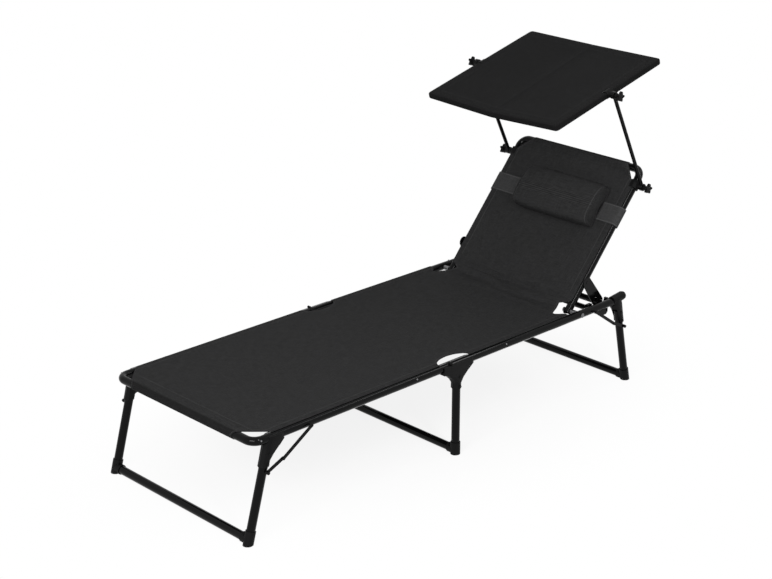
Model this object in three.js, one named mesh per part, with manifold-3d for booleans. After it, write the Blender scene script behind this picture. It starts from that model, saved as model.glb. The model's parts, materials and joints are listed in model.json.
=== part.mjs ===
// A folding sun lounger with a tilting canopy. Sizes are in millimetres and +Z is up.
// The foot end points to -X and the head end to +X. Left is the -Y side.
import * as THREE from "three";
import { mergeVertices } from "three/addons/utils/BufferGeometryUtils.js";
import Module from "manifold-3d";

const wasm = await Module();
wasm.setup();

const degree = Math.PI / 180;

// Main sizes of the bed frame
const railSpacing = 600; // between the centre lines of the two side rails
const railHeight = 292; // floor to the rails' centre lines
const footReach = 770; // middle legs to the foot tube's centre line
const headReach = 743; // middle legs to the rails' head ends
const frameTubeDiameter = 25;
const frameTubeWall = 1.2;
const footBendRadius = 30;
const footBendShank = 18; // straight tube past the foot bends
const fitGap = 0.3; // between neighbours that touch or turn in each other

// Fold of the bed
const foldPlace = -35; // middle legs to the fold axis
const foldKnuckleRadius = 4;
const foldKnuckleWidth = 4.6;
const foldPinRadius = 1.8;
const foldPlugLength = 6;
const foldBlockLength = 30;
const foldBlockDrop = 18; // rail centre line to the block's underside

// Legs
const legPivotDrop = 40; // rail centre line to the leg pivots
const frontLegInset = 42; // foot tube's centre line to the front legs
const middleLegPlace = 0;
const rearLegInset = 4; // the rails' head ends to the rear legs
const frontLegSplay = 15.8 * degree;
const middleLegSplay = 0;
const rearLegSplay = 12 * degree;
const legBendRadius = 20;
const legPinRadius = 4;
const legTipRise = 4; // leg pivot to the tube's upper end
const footWall = 2.7;
const footFlatDepth = 0.7; // how much of a foot's round underside is flattened
const footHeight = 25; // floor bar's centre line to the foot's upper rim
const footWidth = 26;

// Leg brackets
const bracketHalfWidth = 16;
const bracketRise = 7; // above the rail's centre line
const bracketDepth = 77; // below the rail's centre line
const bracketSocketLength = 17;
const rivetRadius = 4.5;
const rivetHeight = 1.5;
const studDrop = 30; // leg pivot to the stud below it
const middleFlare = 65;
const middleFlareBehind = 49;
const frontFlare = 60;
const rearFlare = 34;
const endFlareBehind = 1; // of the front and rear brackets
const noseRadius = 14.5;
const noseLow = 3; // the nose's centre above the rail's, where it starts
const noseHigh = 8.5; // and at its tip
const noseOverhang = 12; // the rails' head ends to the centre of the nose's tip

// Folding stays
const stayWidth = 10;
const stayThickness = 2.5;
const stayLegDrop = 49; // leg pivot to the stay's bolt, down the leg
const stayLegOffset = 17.8; // rail centre line to the lower links' inner faces
const stayBoltRadius = 5;
const stayBoltHeight = 5.7;
const stayPinRadius = 3;
const frontKneeReach = 42; // front leg pivots to the knees, along the bed
const frontKneeHeight = 227;
const frontStayReach = 144; // front leg pivots to the stays' rail pivots
const rearKneeReach = 42.5;
const rearKneeHeight = 226.5;
const rearStayReach = 134;
const stayRailHeight = 291;

// Backrest
const backPivotPlace = 550.2; // middle legs to the backrest pivots
const backAngle = 48.9 * degree;
const backLength = 513; // pivot to the top bar's centre line
const backTubeSpacing = 507;
const backBendRadius = 30;
const backBowShank = 3; // straight tube below the bends of the top bow
const backBoltRadius = 4;
const backBoltHeadRadius = 8;
const backBoltHeadHeight = 3;
const backNutHeight = 5;

// Prop of the backrest
const propPlace = 105; // backrest pivot to the prop pivots
const propLength = 82.5;
const propLean = 30.5 * degree;
const propPlateThickness = 3;
const propPivotRadius = 18; // of the plates' upper ends
const propHeelRadius = 14; // of the plates' lower corners
const propToeOut = 17.5; // prop's centre line to the outer lower corner's centre
const propToeDrop = 18; // bar to the outer lower corner's centre
const propBarDiameter = 20;
const propPinRadius = 3;
const propBarOverhang = 2.3; // bar past the plates' outer faces

// Ratchet plates and the tube that ties them
const ratchetThickness = 3;
const ratchetStart = 600;
const ratchetEnd = 704.5;
const ratchetTop = 304;
const ratchetMiddle = 276; // height of the underside at the foot end
const ratchetBottom = 249;
const ratchetKneePlace = 636; // where the underside starts to fall
const ratchetLobePlace = 672;
const ratchetBevel = 8;
const ratchetShelfDepth = 9;
const ratchetShelfHeight = 18;
const notchPlace = 661;
const notchHeight = 300;
const notchPitch = 25;
const notchRadius = 10.5;
const notchesBeside = 1; // on each side of the one in use
const tieTubePlace = 676;
const tieTubeHeight = 258;
const tieTubeDiameter = 18;

// Canopy arms, clamps and knobs
const armDrop = 55; // top bar to the arms' lower pivots
const armLength = 366;
const armLean = 26.2 * degree;
const armDiameter = 12;
const armStandOff = 31.5; // side tube's centre line to the arm's
const armEyeRadius = 12;
const armEyeWidth = 12;
const studRadius = 3;
const clampWall = 5;
const clampLength = 26;
const clampBossRadius = 10.5;
const clampStudDepth = 11;
const knobRadius = 16.5;
const knobLobeDepth = 7;
const knobLobes = 5;
const knobWidth = 9;
const knobCollarRadius = 8;
const knobCollarWidth = 13;
const knobNeckShare = 0.8; // of the collar's radius, where it meets the star

// Canopy
const canopyLength = 503;
const canopySideGap = 24.5; // arm's centre line to the canopy's side bar
const canopyTilt = 14.25 * degree;
const canopyTubeDiameter = 16;
const canopyTubeWall = 1.2;
const canopyBendRadius = 12;
const canopyFrontSag = 11; // how far the middle of the front bar lies below its ends
const canopyRearSag = 2;

// Fabric
const clothThickness = 1.2;
const clothWrap = 42 * degree; // how far the cloth reaches round the outside of a tube
const seatClothFoldGap = 4.2;
const seatClothHeadPlace = 541;
const backClothStart = 12;
const footSleeveHalf = 225;
const footCornerInset = 64; // foot tube's centre line to where the cloth's side edge is cut
const footCornerOverhang = 14; // and out past it to where the cut ends
const foldCutPlace = -10; // middle legs to the centre of the cut-outs
const foldCutHalfLength = 62;
const foldCutDepth = 35;
const seatCutPlace = 496; // middle legs to where the seat cloth leaves the rails
const seatCutInset = 29;
const seatCutShoulder = 259;
const seatCutHalfWidth = 223; // of the cloth at its head end
const backCutHalfWidth = 236; // of the cloth at its lower edge
const backCutLow = 18;
const backCutHigh = 30;
const backSleeveHalf = 196;
const backCornerDrop = 61; // top bar to where the cloth leaves the side tubes

// Head pillow and its strap
const pillowDrop = 169; // top bar to the pillow's middle
const pillowLength = 312;
const pillowDepth = 146;
const pillowHeight = 55;
const pillowOffset = -36; // the pillow's middle from the centre line
const pillowBaseShare = 0.16; // of its height, below its widest line
const pillowCrownPower = 0.8; // how full its rounded front is
const pillowBasePower = 0.5; // how flat its back is
const strapDrop = 174;
const strapWidth = 64;
const strapThickness = 1.6;

// Facet counts
const tubeSides = 12;
const boreSides = 8;
const bendSteps = 4;
const pinSides = 10;
const canopyTubeSides = 8;

// Sizes worked out from those above
const tubeRadius = frameTubeDiameter / 2;
const boreRadius = tubeRadius - frameTubeWall;
const railY = railSpacing / 2;
const backY = backTubeSpacing / 2;
const armY = backY + armStandOff;
const armPlace = backLength - armDrop;
const pillowPlace = backLength - pillowDrop;
const strapPlace = backLength - strapDrop;
const footOuterRadius = tubeRadius + footWall;
const footBarHeight = footOuterRadius - footFlatDepth;
const legPivotHeight = railHeight - legPivotDrop;
const frontLegPlace = frontLegInset - footReach;
const rearLegPlace = headReach - rearLegInset;
const noseReach = headReach + noseOverhang;
const frontKneePlace = frontLegPlace + frontKneeReach;
const rearKneePlace = rearLegPlace - rearKneeReach;
const frontStayRailPlace = frontLegPlace + frontStayReach;
const rearStayRailPlace = rearLegPlace - rearStayReach;
const footCornerStart = footReach - footCornerInset;
const footCornerOut = footReach + footCornerOverhang;
const canopyTubeRadius = canopyTubeDiameter / 2;
const canopyClampWindow = clampLength + fitGap * 4; // in the cover, along each side bar
const canopyWindowDepth = canopyTubeRadius + clampWall + fitGap * 2; // from the bar inwards
const propBarRadius = propBarDiameter / 2;
const tieTubeRadius = tieTubeDiameter / 2;
const stayRailOffset = stayLegOffset + stayThickness + fitGap;
const overrun = frameTubeDiameter; // how far cutters reach past what they cut

// Finishes
const blackPaint = { color: 0x1d1d1f, roughness: 0.42, metalness: 0.55 };
const blackPlastic = { color: 0x1a1a1b, roughness: 0.55, metalness: 0 };
const zincSteel = { color: 0x8f9195, roughness: 0.35, metalness: 0.9 };
const seatMesh = { color: 0x2b2b2c, roughness: 0.85, metalness: 0 };
const canopyWeave = { color: 0x222223, roughness: 0.88, metalness: 0 };
const strapWeb = { color: 0x3c3c3d, roughness: 0.8, metalness: 0 };

// Shape tools

// A closed geometry as a solid that can be joined and cut.
function solidOf(geometry) {
  const bare = new THREE.BufferGeometry();
  bare.setAttribute("position", geometry.getAttribute("position"));
  bare.setIndex(geometry.index);
  const merged = mergeVertices(bare, fitGap / 1000);
  return new wasm.Manifold(
    new wasm.Mesh({
      numProp: 3,
      vertProperties: merged.getAttribute("position").array,
      triVerts: new Uint32Array(merged.index.array),
    }),
  );
}

function geometryOf(solid) {
  const { vertProperties, triVerts } = solid.getMesh();
  const geometry = new THREE.BufferGeometry();
  geometry.setAttribute("position", new THREE.BufferAttribute(vertProperties, 3));
  geometry.setIndex(new THREE.BufferAttribute(triVerts, 1));
  geometry.computeVertexNormals();
  return geometry;
}

function join(first, ...others) {
  return others.reduce((whole, piece) => whole.add(piece), first);
}

function cut(body, ...tools) {
  return tools.reduce((left, tool) => left.subtract(tool), body);
}

// The corner radius of a faceted hole whose flats clear a round pin.
function holeRadius(pinRadius, sides, clearance = fitGap) {
  return (pinRadius + clearance) / Math.cos(Math.PI / sides);
}

function circlePoints(radius, sides) {
  return Array.from({ length: sides }, (_, i) => {
    const turn = (2 * Math.PI * i) / sides;
    return new THREE.Vector2(radius * Math.cos(turn), radius * Math.sin(turn));
  });
}

function outline(points) {
  return new THREE.Shape(points.map(([x, y]) => new THREE.Vector2(x, y)));
}

// A line of straight runs joined by round bends, with knots only where it turns.
class BentPath extends THREE.Curve {
  constructor(corners, bendRadius = 0, steps = bendSteps) {
    super();
    const [first, ...rest] = corners.map((corner) => new THREE.Vector3(...corner));
    const last = rest.pop();
    this.knots = [first];
    rest.forEach((corner, i) => {
      const before = (i ? rest[i - 1] : first).clone().sub(corner).normalize();
      const after = (rest[i + 1] ?? last).clone().sub(corner).normalize();
      const half = before.angleTo(after) / 2;
      const centre = before.clone().add(after).setLength(bendRadius / Math.sin(half)).add(corner);
      const arm = corner.clone().addScaledVector(before, bendRadius / Math.tan(half)).sub(centre);
      const axis = new THREE.Vector3().crossVectors(after, before).normalize();
      const sweep = Math.PI - 2 * half;
      for (let step = 0; step <= steps; step += 1) {
        this.knots.push(arm.clone().applyAxisAngle(axis, (sweep * step) / steps).add(centre));
      }
    });
    this.knots.push(last);
  }

  getPoint(share, target = new THREE.Vector3()) {
    const place = share * (this.knots.length - 1);
    const low = Math.min(Math.floor(place), this.knots.length - 2);
    return target.lerpVectors(this.knots[low], this.knots[low + 1], place - low);
  }

  getPointAt(share, target) {
    return this.getPoint(share, target);
  }

  getTangentAt(share, target = new THREE.Vector3()) {
    const at = Math.round(share * (this.knots.length - 1));
    const before = this.knots[Math.max(at - 1, 0)];
    const here = this.knots[at];
    const after = this.knots[Math.min(at + 1, this.knots.length - 1)];
    const along = here.clone().sub(before).normalize();
    return target.subVectors(after, here).normalize().add(along).normalize();
  }
}

// A tube along a path; without a bore it is a solid bar.
function tube(path, radius, bore = 0, sides = tubeSides) {
  const section = new THREE.Shape(circlePoints(radius, sides));
  if (bore) section.holes.push(new THREE.Path(circlePoints(bore, boreSides)));
  const steps = path.knots.length - 1;
  return solidOf(new THREE.ExtrudeGeometry(section, { steps, extrudePath: path }));
}

// An outline in X and Z, given its thickness from low to high along Y.
function prism(shape, low, high, curveSegments = bendSteps) {
  const depth = high - low;
  const geometry = new THREE.ExtrudeGeometry(shape, { depth, bevelEnabled: false, curveSegments });
  return solidOf(geometry.rotateX(Math.PI / 2).translate(0, high, 0));
}

// The same, from inner to outer on the outward side of a left or right piece.
function sidePrism(shape, side, inner, outer, curveSegments) {
  const [low, high] = [side * inner, side * outer].sort((a, b) => a - b);
  return prism(shape, low, high, curveSegments);
}

// An outline in X and Y, given its height from low to high along Z.
function slab(shape, low, high) {
  const geometry = new THREE.ExtrudeGeometry(shape, { depth: high - low, bevelEnabled: false });
  return solidOf(geometry.translate(0, 0, low));
}

function box(lowX, highX, lowY, highY, lowZ, highZ) {
  const geometry = new THREE.BoxGeometry(highX - lowX, highY - lowY, highZ - lowZ);
  geometry.translate((lowX + highX) / 2, (lowY + highY) / 2, (lowZ + highZ) / 2);
  return solidOf(geometry);
}

function sideBox(side, lowX, highX, inner, outer, lowZ, highZ) {
  const [low, high] = [side * inner, side * outer].sort((a, b) => a - b);
  return box(lowX, highX, low, high, lowZ, highZ);
}

// A round bar along Y on the outward side, at x and z.
function pin(side, radius, inner, outer, x = 0, z = 0, sides = pinSides) {
  const geometry = new THREE.CylinderGeometry(radius, radius, outer - inner, sides);
  geometry.translate(x, (side * (inner + outer)) / 2, z);
  return solidOf(geometry);
}

// A round bar along X.
function bar(radius, low, high, sides = tubeSides) {
  const geometry = new THREE.CylinderGeometry(radius, radius, high - low, sides);
  return solidOf(geometry.rotateZ(Math.PI / 2).translate((low + high) / 2, 0, 0));
}

// A turned piece along Y, from pairs of radius and distance on the outward side.
function turned(side, profile, x = 0, z = 0, sides = pinSides) {
  const points = profile.map(([radius, out]) => new THREE.Vector2(radius, side * out));
  if (side > 0 === profile[0][1] > profile.at(-1)[1]) points.reverse();
  return solidOf(new THREE.LatheGeometry(points, sides).translate(x, 0, z));
}

// A closed skin over rings that all have the same number of points.
function loft(rings) {
  const around = rings[0].length;
  const points = rings.flat();
  const first = points.length;
  const middle = (ring) =>
    ring.reduce((sum, p) => sum.add(p), new THREE.Vector3()).divideScalar(around);
  points.push(middle(rings[0]), middle(rings.at(-1)));
  const faces = [];
  for (let i = 0; i < around; i += 1) {
    const next = (i + 1) % around;
    const top = (rings.length - 1) * around;
    faces.push(first, next, i, first + 1, top + i, top + next);
    for (let row = 0; row < rings.length - 1; row += 1) {
      const low = row * around;
      const high = low + around;
      faces.push(low + i, low + next, high + next, low + i, high + next, high + i);
    }
  }
  const geometry = new THREE.BufferGeometry().setFromPoints(points);
  geometry.setIndex(faces);
  return solidOf(geometry);
}

function addPiece(parent, name, solid, finish) {
  const mesh = new THREE.Mesh(geometryOf(solid), new THREE.MeshStandardMaterial(finish));
  mesh.name = name;
  parent.add(mesh);
  return mesh;
}

function addGroup(parent, x, y, z, turn = 0) {
  const group = new THREE.Group();
  group.position.set(x, y, z);
  group.rotation.y = turn;
  parent.add(group);
  return group;
}

const sides = [
  [-1, "left"],
  [1, "right"],
];

// A place on the backrest: along its side tubes from the pivot.
function backPoint(along) {
  return [
    backPivotPlace + along * Math.cos(backAngle),
    railHeight + along * Math.sin(backAngle),
  ];
}

// Bed frame

function frontRail() {
  const start = -footReach + footBendRadius + footBendShank + fitGap;
  const path = new BentPath([[start, 0, 0], [foldPlace - foldPlugLength, 0, 0]]);
  return tube(path, tubeRadius, boreRadius);
}

function footBow() {
  const end = -footReach + footBendRadius + footBendShank;
  const corners = [
    [end, -railY, 0],
    [-footReach, -railY, 0],
    [-footReach, railY, 0],
    [end, railY, 0],
  ];
  return tube(new BentPath(corners, footBendRadius), tubeRadius, boreRadius);
}

function rearRail() {
  const start = foldPlace + foldPlugLength;
  const path = new BentPath([[start, 0, 0], [headReach - fitGap, 0, 0]]);
  const hole = pin(1, holeRadius(backBoltRadius, pinSides), -overrun, overrun, backPivotPlace);
  return cut(tube(path, tubeRadius, boreRadius), hole);
}

// Rings of a round-ended outline that follow a leg down from the rail.
function bracketRings(splay, flare, behind) {
  const arcPoints = 5;
  const legLine = (z) => (z + legPivotDrop) * Math.tan(splay);
  const socketHalf = bracketHalfWidth / Math.cos(splay);
  const socketTop = bracketSocketLength - bracketDepth;
  const flareShares = [0, 0, 0.2, 0.53, 1, 1];
  const riseShares = [0, 0, 0.32, 0.63, 1, 1];
  return flareShares.map((share, level) => {
    let z = THREE.MathUtils.lerp(socketTop, -tubeRadius, riseShares[level]);
    if (level === 0) z = -bracketDepth;
    if (level === flareShares.length - 1) z = bracketRise;
    const low = legLine(z) - socketHalf - behind * share;
    const high = THREE.MathUtils.lerp(legLine(z) + socketHalf, flare, share);
    const ring = [];
    for (let i = 0; i < arcPoints * 2; i += 1) {
      const ahead = i < arcPoints;
      const turn = -Math.PI / 2 + (Math.PI * (i - (ahead ? 0 : 1))) / (arcPoints - 1);
      const centre = ahead ? high - bracketHalfWidth : low + bracketHalfWidth;
      const x = centre + bracketHalfWidth * Math.cos(turn);
      ring.push(new THREE.Vector3(x, bracketHalfWidth * Math.sin(turn), z));
    }
    return ring;
  });
}

// The room that a leg's upper end takes as it folds towards +X.
function legSlot(splay, fold) {
  const reach = bracketDepth * 2;
  const half = tubeRadius + fitGap;
  const [across, down] = [-reach * Math.sin(splay), -reach * Math.cos(splay)];
  const swept = outline([
    [across, down],
    [reach, down],
    [reach, half],
    [0, half],
    [0, 0],
  ]);
  const sweep = prism(swept, -half, half);
  const round = holeRadius(tubeRadius, tubeSides);
  const socket = tube(new BentPath([[0, 0, 0], [across, 0, down]]), round);
  const facets = tubeSides;
  const ballRadius = holeRadius(tubeRadius, facets) / Math.cos(Math.PI / facets);
  const ball = solidOf(new THREE.SphereGeometry(ballRadius, facets, facets / 2));
  const slot = join(sweep, socket, ball).translate([0, 0, -legPivotDrop]);
  return fold > 0 ? slot : slot.mirror([1, 0, 0]);
}

// A moulded bracket that hangs a leg from a rail, with the leg's pin riveted in it.
function legBracket(side, splay, fold, flare, behind) {
  const funnel = loft(bracketRings(splay, flare, behind));
  const body = fold > 0 ? funnel : funnel.mirror([1, 0, 0]);
  const tunnel = bar(holeRadius(tubeRadius, tubeSides), -middleFlare * 2, middleFlare * 2);
  const hollow = cut(body, tunnel, legSlot(splay, fold));
  const face = bracketHalfWidth + rivetHeight;
  const pivot = pin(side, legPinRadius, -bracketHalfWidth, bracketHalfWidth, 0, -legPivotDrop);
  const head = pin(side, rivetRadius, tubeRadius + fitGap * 3, face, 0, -legPivotDrop);
  const studX = -fold * studDrop * Math.sin(splay);
  const studZ = -legPivotDrop - studDrop * Math.cos(splay);
  const stud = pin(side, rivetRadius, tubeRadius + fitGap * 3, face, studX, studZ);
  return join(hollow, pivot, head, stud);
}

// The rear bracket closes the end of a rail with a nose that rises a little.
function rearBracket(side) {
  const start = -rearFlare + fitGap;
  const end = noseReach - rearLegPlace;
  const sleeve = tube(new BentPath([[start, 0, noseLow], [end, 0, noseHigh]]), noseRadius);
  const tip = new THREE.SphereGeometry(noseRadius, tubeSides, tubeSides / 2);
  const ball = solidOf(tip.rotateZ(-Math.PI / 2).translate(end, 0, noseHigh));
  const room = bar(holeRadius(tubeRadius, tubeSides), -rearFlare * 2, headReach - rearLegPlace);
  const slot = legSlot(rearLegSplay, -1);
  const nose = cut(join(sleeve, ball), room, slot);
  return join(legBracket(side, rearLegSplay, -1, rearFlare, endFlareBehind), nose);
}

// The fold hinge: knuckles turn on a pin level with the tops of the rails.
const knuckleInner = tubeRadius - foldKnuckleWidth;

function knuckle(side, inner, toward) {
  const round = pin(side, foldKnuckleRadius, inner, inner + foldKnuckleWidth, 0, tubeRadius);
  const [low, high] = [0, toward * (foldPlugLength - fitGap)].sort((a, b) => a - b);
  const drop = tubeRadius - foldKnuckleRadius * 2;
  const web = sideBox(side, low, high, inner, inner + foldKnuckleWidth, drop, tubeRadius);
  return join(round, web);
}

function knuckleRoom(side, inner) {
  const low = inner - fitGap;
  const high = inner + foldKnuckleWidth + fitGap;
  return pin(side, holeRadius(foldKnuckleRadius, pinSides), low, high, 0, tubeRadius);
}

const fixedKnuckle = knuckleInner;
const foldingKnuckle = knuckleInner - foldKnuckleWidth - fitGap * 2;

function foldPin(side, radius, extra) {
  const inner = foldingKnuckle - fitGap - extra;
  const outer = fixedKnuckle + foldKnuckleWidth + extra;
  return pin(side, radius, inner, outer, 0, tubeRadius);
}

// The middle legs' bracket carries the fixed half of the fold hinge.
function middleBracket(side) {
  const bracket = legBracket(side, middleLegSplay, 1, middleFlare, middleFlareBehind);
  const parting = foldPlace + fitGap / 2;
  const frontRoom = box(-middleFlare * 2, parting, -overrun, overrun, -foldBlockDrop, overrun);
  const plug = bar(tubeRadius, parting, foldPlace + foldPlugLength - fitGap);
  const leaf = knuckle(side, fixedKnuckle, 1).translate([foldPlace, 0, 0]);
  const room = knuckleRoom(side, foldingKnuckle).translate([foldPlace, 0, 0]);
  const body = join(cut(bracket, frontRoom), plug);
  const cleared = cut(body, room);
  return join(cleared, leaf, foldPin(side, foldPinRadius, 0).translate([foldPlace, 0, 0]));
}

// The folding half of the hinge closes the end of a front rail.
function foldHinge(side) {
  const half = bracketHalfWidth;
  const block = box(-foldBlockLength, -fitGap / 2, -half, half, -foldBlockDrop + fitGap, bracketRise);
  const tunnel = bar(holeRadius(tubeRadius, tubeSides), -foldBlockLength * 2, -foldPlugLength);
  const plug = bar(tubeRadius, -foldPlugLength + fitGap, -fitGap / 2);
  const leaf = knuckle(side, foldingKnuckle, -1);
  const body = join(cut(block, tunnel), plug, leaf);
  const pinHole = foldPin(side, holeRadius(foldPinRadius, pinSides), fitGap);
  return cut(body, knuckleRoom(side, fixedKnuckle), pinHole);
}

function addBedFrame(lounger) {
  addPiece(lounger, "foot_bow", footBow(), blackPaint).position.z = railHeight;
  for (const [side, word] of sides) {
    const rail = addGroup(lounger, 0, side * railY, railHeight);
    addPiece(rail, "front_rail_" + word, frontRail(), blackPaint);
    addPiece(rail, "rear_rail_" + word, rearRail(), blackPaint);
    const front = legBracket(side, frontLegSplay, 1, frontFlare, endFlareBehind);
    addPiece(rail, "front_bracket_" + word, front, blackPlastic).position.x = frontLegPlace;
    addPiece(rail, "middle_bracket_" + word, middleBracket(side), blackPlastic);
    addPiece(rail, "rear_bracket_" + word, rearBracket(side), blackPlastic).position.x = rearLegPlace;
    addPiece(rail, "fold_hinge_" + word, foldHinge(side), blackPlastic).position.x = foldPlace;
  }
}

// Legs

// A leg's local frame has its pivot at the origin and its tubes along -Z.
function legLength(splay) {
  return (legPivotHeight - footBarHeight) / Math.cos(splay);
}

// The bevel of a leg's upper end, which lets it turn in its bracket.
function taperedEnd() {
  const slope = tubeRadius - Math.sqrt(tubeRadius ** 2 - legTipRise ** 2);
  const geometry = new THREE.CylinderGeometry(
    tubeRadius - slope,
    tubeRadius + slope,
    legTipRise * 2,
    tubeSides,
  );
  return solidOf(geometry.rotateX(Math.PI / 2));
}

function legFrame(splay) {
  const down = -legLength(splay);
  const corners = [
    [0, -railY, legTipRise],
    [0, -railY, down],
    [0, railY, down],
    [0, railY, legTipRise],
  ];
  const bent = tube(new BentPath(corners, legBendRadius), tubeRadius, boreRadius);
  const below = box(-overrun, overrun, -railSpacing, railSpacing, down - overrun, 0);
  const tapers = sides.map(([side]) => taperedEnd().translate([0, side * railY, 0]));
  const hole = pin(1, holeRadius(legPinRadius, pinSides), -railSpacing, railSpacing);
  return cut(bent.intersect(join(below, ...tapers)), hole);
}

// A plastic foot over the corner of a leg, square outside and cut level with the floor.
function legFoot(side, splay, turn) {
  const down = -legLength(splay);
  const reach = footHeight * 2;
  const upright = [[0, side * railY, down + footHeight], [0, side * railY, down - reach]];
  const across = [[0, side * railY, down], [0, side * (railY - footWidth), down]];
  const shell = join(...[upright, across].map((line) => tube(new BentPath(line), footOuterRadius)));
  const core = [
    [0, side * railY, down + reach],
    [0, side * railY, down],
    [0, side * (railY - reach), down],
  ];
  const bore = tube(new BentPath(core, legBendRadius), holeRadius(tubeRadius, tubeSides));
  const wide = railSpacing;
  const floor = box(-wide, wide, -wide, wide, -legPivotHeight - wide, -legPivotHeight);
  return cut(shell, bore, floor.rotate([0, -turn / degree, 0]));
}

function addLeg(lounger, word, place, splay, toward) {
  const turn = -toward * splay;
  const leg = addGroup(lounger, place, 0, legPivotHeight, turn);
  addPiece(leg, word + "_leg", legFrame(splay), blackPaint);
  for (const [side, sideWord] of sides) {
    addPiece(leg, `${word}_foot_${sideWord}`, legFoot(side, splay, turn), blackPlastic);
  }
}

// Folding stays

// A flat link from the origin along +X, with a rivet or bolt at each end.
function link(side, length, offset, rootRivet, tipRivet) {
  const shape = new THREE.Shape();
  shape.absarc(0, 0, stayWidth / 2, Math.PI / 2, (Math.PI * 3) / 2, false);
  shape.absarc(length, 0, stayWidth / 2, -Math.PI / 2, Math.PI / 2, false);
  const plate = sidePrism(shape, side, offset, offset + stayThickness);
  return join(plate, ...[rootRivet, tipRivet].filter(Boolean));
}

function addStay(lounger, word, place, splay, toward, [knee, kneeHeight], railPlace) {
  const boltX = place + toward * stayLegDrop * Math.tan(splay);
  const boltZ = legPivotHeight - stayLegDrop;
  const lower = new THREE.Vector2(knee - boltX, kneeHeight - boltZ);
  const upper = new THREE.Vector2(knee - railPlace, kneeHeight - stayRailHeight);
  for (const [side, sideWord] of sides) {
    const face = stayLegOffset + stayThickness;
    const bolt = turned(side, [
      [0, tubeRadius + fitGap],
      [stayPinRadius, tubeRadius + fitGap],
      [stayPinRadius, face],
      [stayBoltRadius, face],
      [stayBoltRadius, face + stayBoltHeight],
      [0, face + stayBoltHeight],
    ]);
    const lowerGroup = addGroup(lounger, boltX, side * railY, boltZ, -lower.angle());
    const lowerLink = link(side, lower.length(), stayLegOffset, bolt);
    addPiece(lowerGroup, `${word}_stay_lower_${sideWord}`, lowerLink, blackPaint);
    const top = stayRailOffset + stayThickness;
    const rivet = turned(side, [
      [0, tubeRadius + fitGap],
      [stayPinRadius, tubeRadius + fitGap],
      [stayPinRadius, top],
      [rivetRadius, top],
      [rivetRadius, top + rivetHeight],
      [0, top + rivetHeight],
    ]);
    const kneeRivet = pin(side, rivetRadius, stayRailOffset, top + rivetHeight, upper.length());
    const upperGroup = addGroup(lounger, railPlace, side * railY, stayRailHeight, -upper.angle());
    const upperLink = link(side, upper.length(), stayRailOffset, rivet, kneeRivet);
    addPiece(upperGroup, `${word}_stay_upper_${sideWord}`, upperLink, blackPaint);
  }
}

// Backrest, in a frame with +X up along its side tubes and +Z out of its front

const bowStart = backLength - backBendRadius - backBowShank;

function backTube() {
  const path = new BentPath([[-tubeRadius, 0, 0], [bowStart - fitGap, 0, 0]]);
  const round = new THREE.Shape();
  round.moveTo(backLength, -overrun);
  round.lineTo(backLength, overrun);
  round.lineTo(0, overrun);
  round.lineTo(0, tubeRadius);
  round.absarc(0, 0, tubeRadius, Math.PI / 2, (Math.PI * 3) / 2, false);
  round.lineTo(0, -overrun);
  const keep = prism(round, -overrun, overrun);
  const bolt = pin(1, holeRadius(backBoltRadius, pinSides), -overrun, overrun);
  const propHole = pin(1, holeRadius(propPinRadius, pinSides), -overrun, overrun, propPlace);
  return cut(tube(path, tubeRadius, boreRadius).intersect(keep), bolt, propHole);
}

function backBow() {
  const corners = [
    [bowStart, -backY, 0],
    [backLength, -backY, 0],
    [backLength, backY, 0],
    [bowStart, backY, 0],
  ];
  return tube(new BentPath(corners, backBendRadius), tubeRadius, boreRadius);
}

// The bolt, spacer and nut that hang the backrest from a rail.
function backBolt(side) {
  const railInner = -tubeRadius - fitGap;
  const tubeOuter = backY - railY + tubeRadius + fitGap;
  const tubeInner = backY - railY - tubeRadius - fitGap;
  const head = tubeRadius + fitGap;
  return turned(side, [
    [0, tubeInner - backNutHeight],
    [backBoltHeadRadius, tubeInner - backNutHeight],
    [backBoltHeadRadius, tubeInner],
    [backBoltRadius, tubeInner],
    [backBoltRadius, tubeOuter],
    [backBoltHeadRadius, tubeOuter],
    [backBoltHeadRadius, railInner],
    [backBoltRadius, railInner],
    [backBoltRadius, head],
    [backBoltHeadRadius, head],
    [backBoltHeadRadius / 2, head + backBoltHeadHeight],
    [0, head + backBoltHeadHeight],
  ]);
}

function addBackrest(lounger, back) {
  for (const [side, word] of sides) {
    addPiece(back, "back_tube_" + word, backTube(), blackPaint).position.y = side * backY;
    const rail = addGroup(lounger, backPivotPlace, side * railY, railHeight);
    addPiece(rail, "backrest_bolt_" + word, backBolt(side), zincSteel);
  }
  addPiece(back, "back_bow", backBow(), blackPaint);
}

// Prop, in a frame with its pivot at the origin and its bar below it

// The belt round circles given as x, z and radius, in turn.
function beltRound(circles) {
  const shape = new THREE.Shape();
  circles.forEach(([x, z, radius], i) => {
    const edge = ([px, pz, pr], [qx, qz, qr]) =>
      Math.atan2(qz - pz, qx - px) - Math.PI / 2 - Math.asin((qr - pr) / Math.hypot(qx - px, qz - pz));
    const from = edge(circles.at(i - 1), circles[i]);
    let to = edge(circles[i], circles[(i + 1) % circles.length]);
    while (to < from) to += Math.PI * 2;
    shape.absarc(x, z, radius, from, to, false);
  });
  return shape;
}

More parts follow.
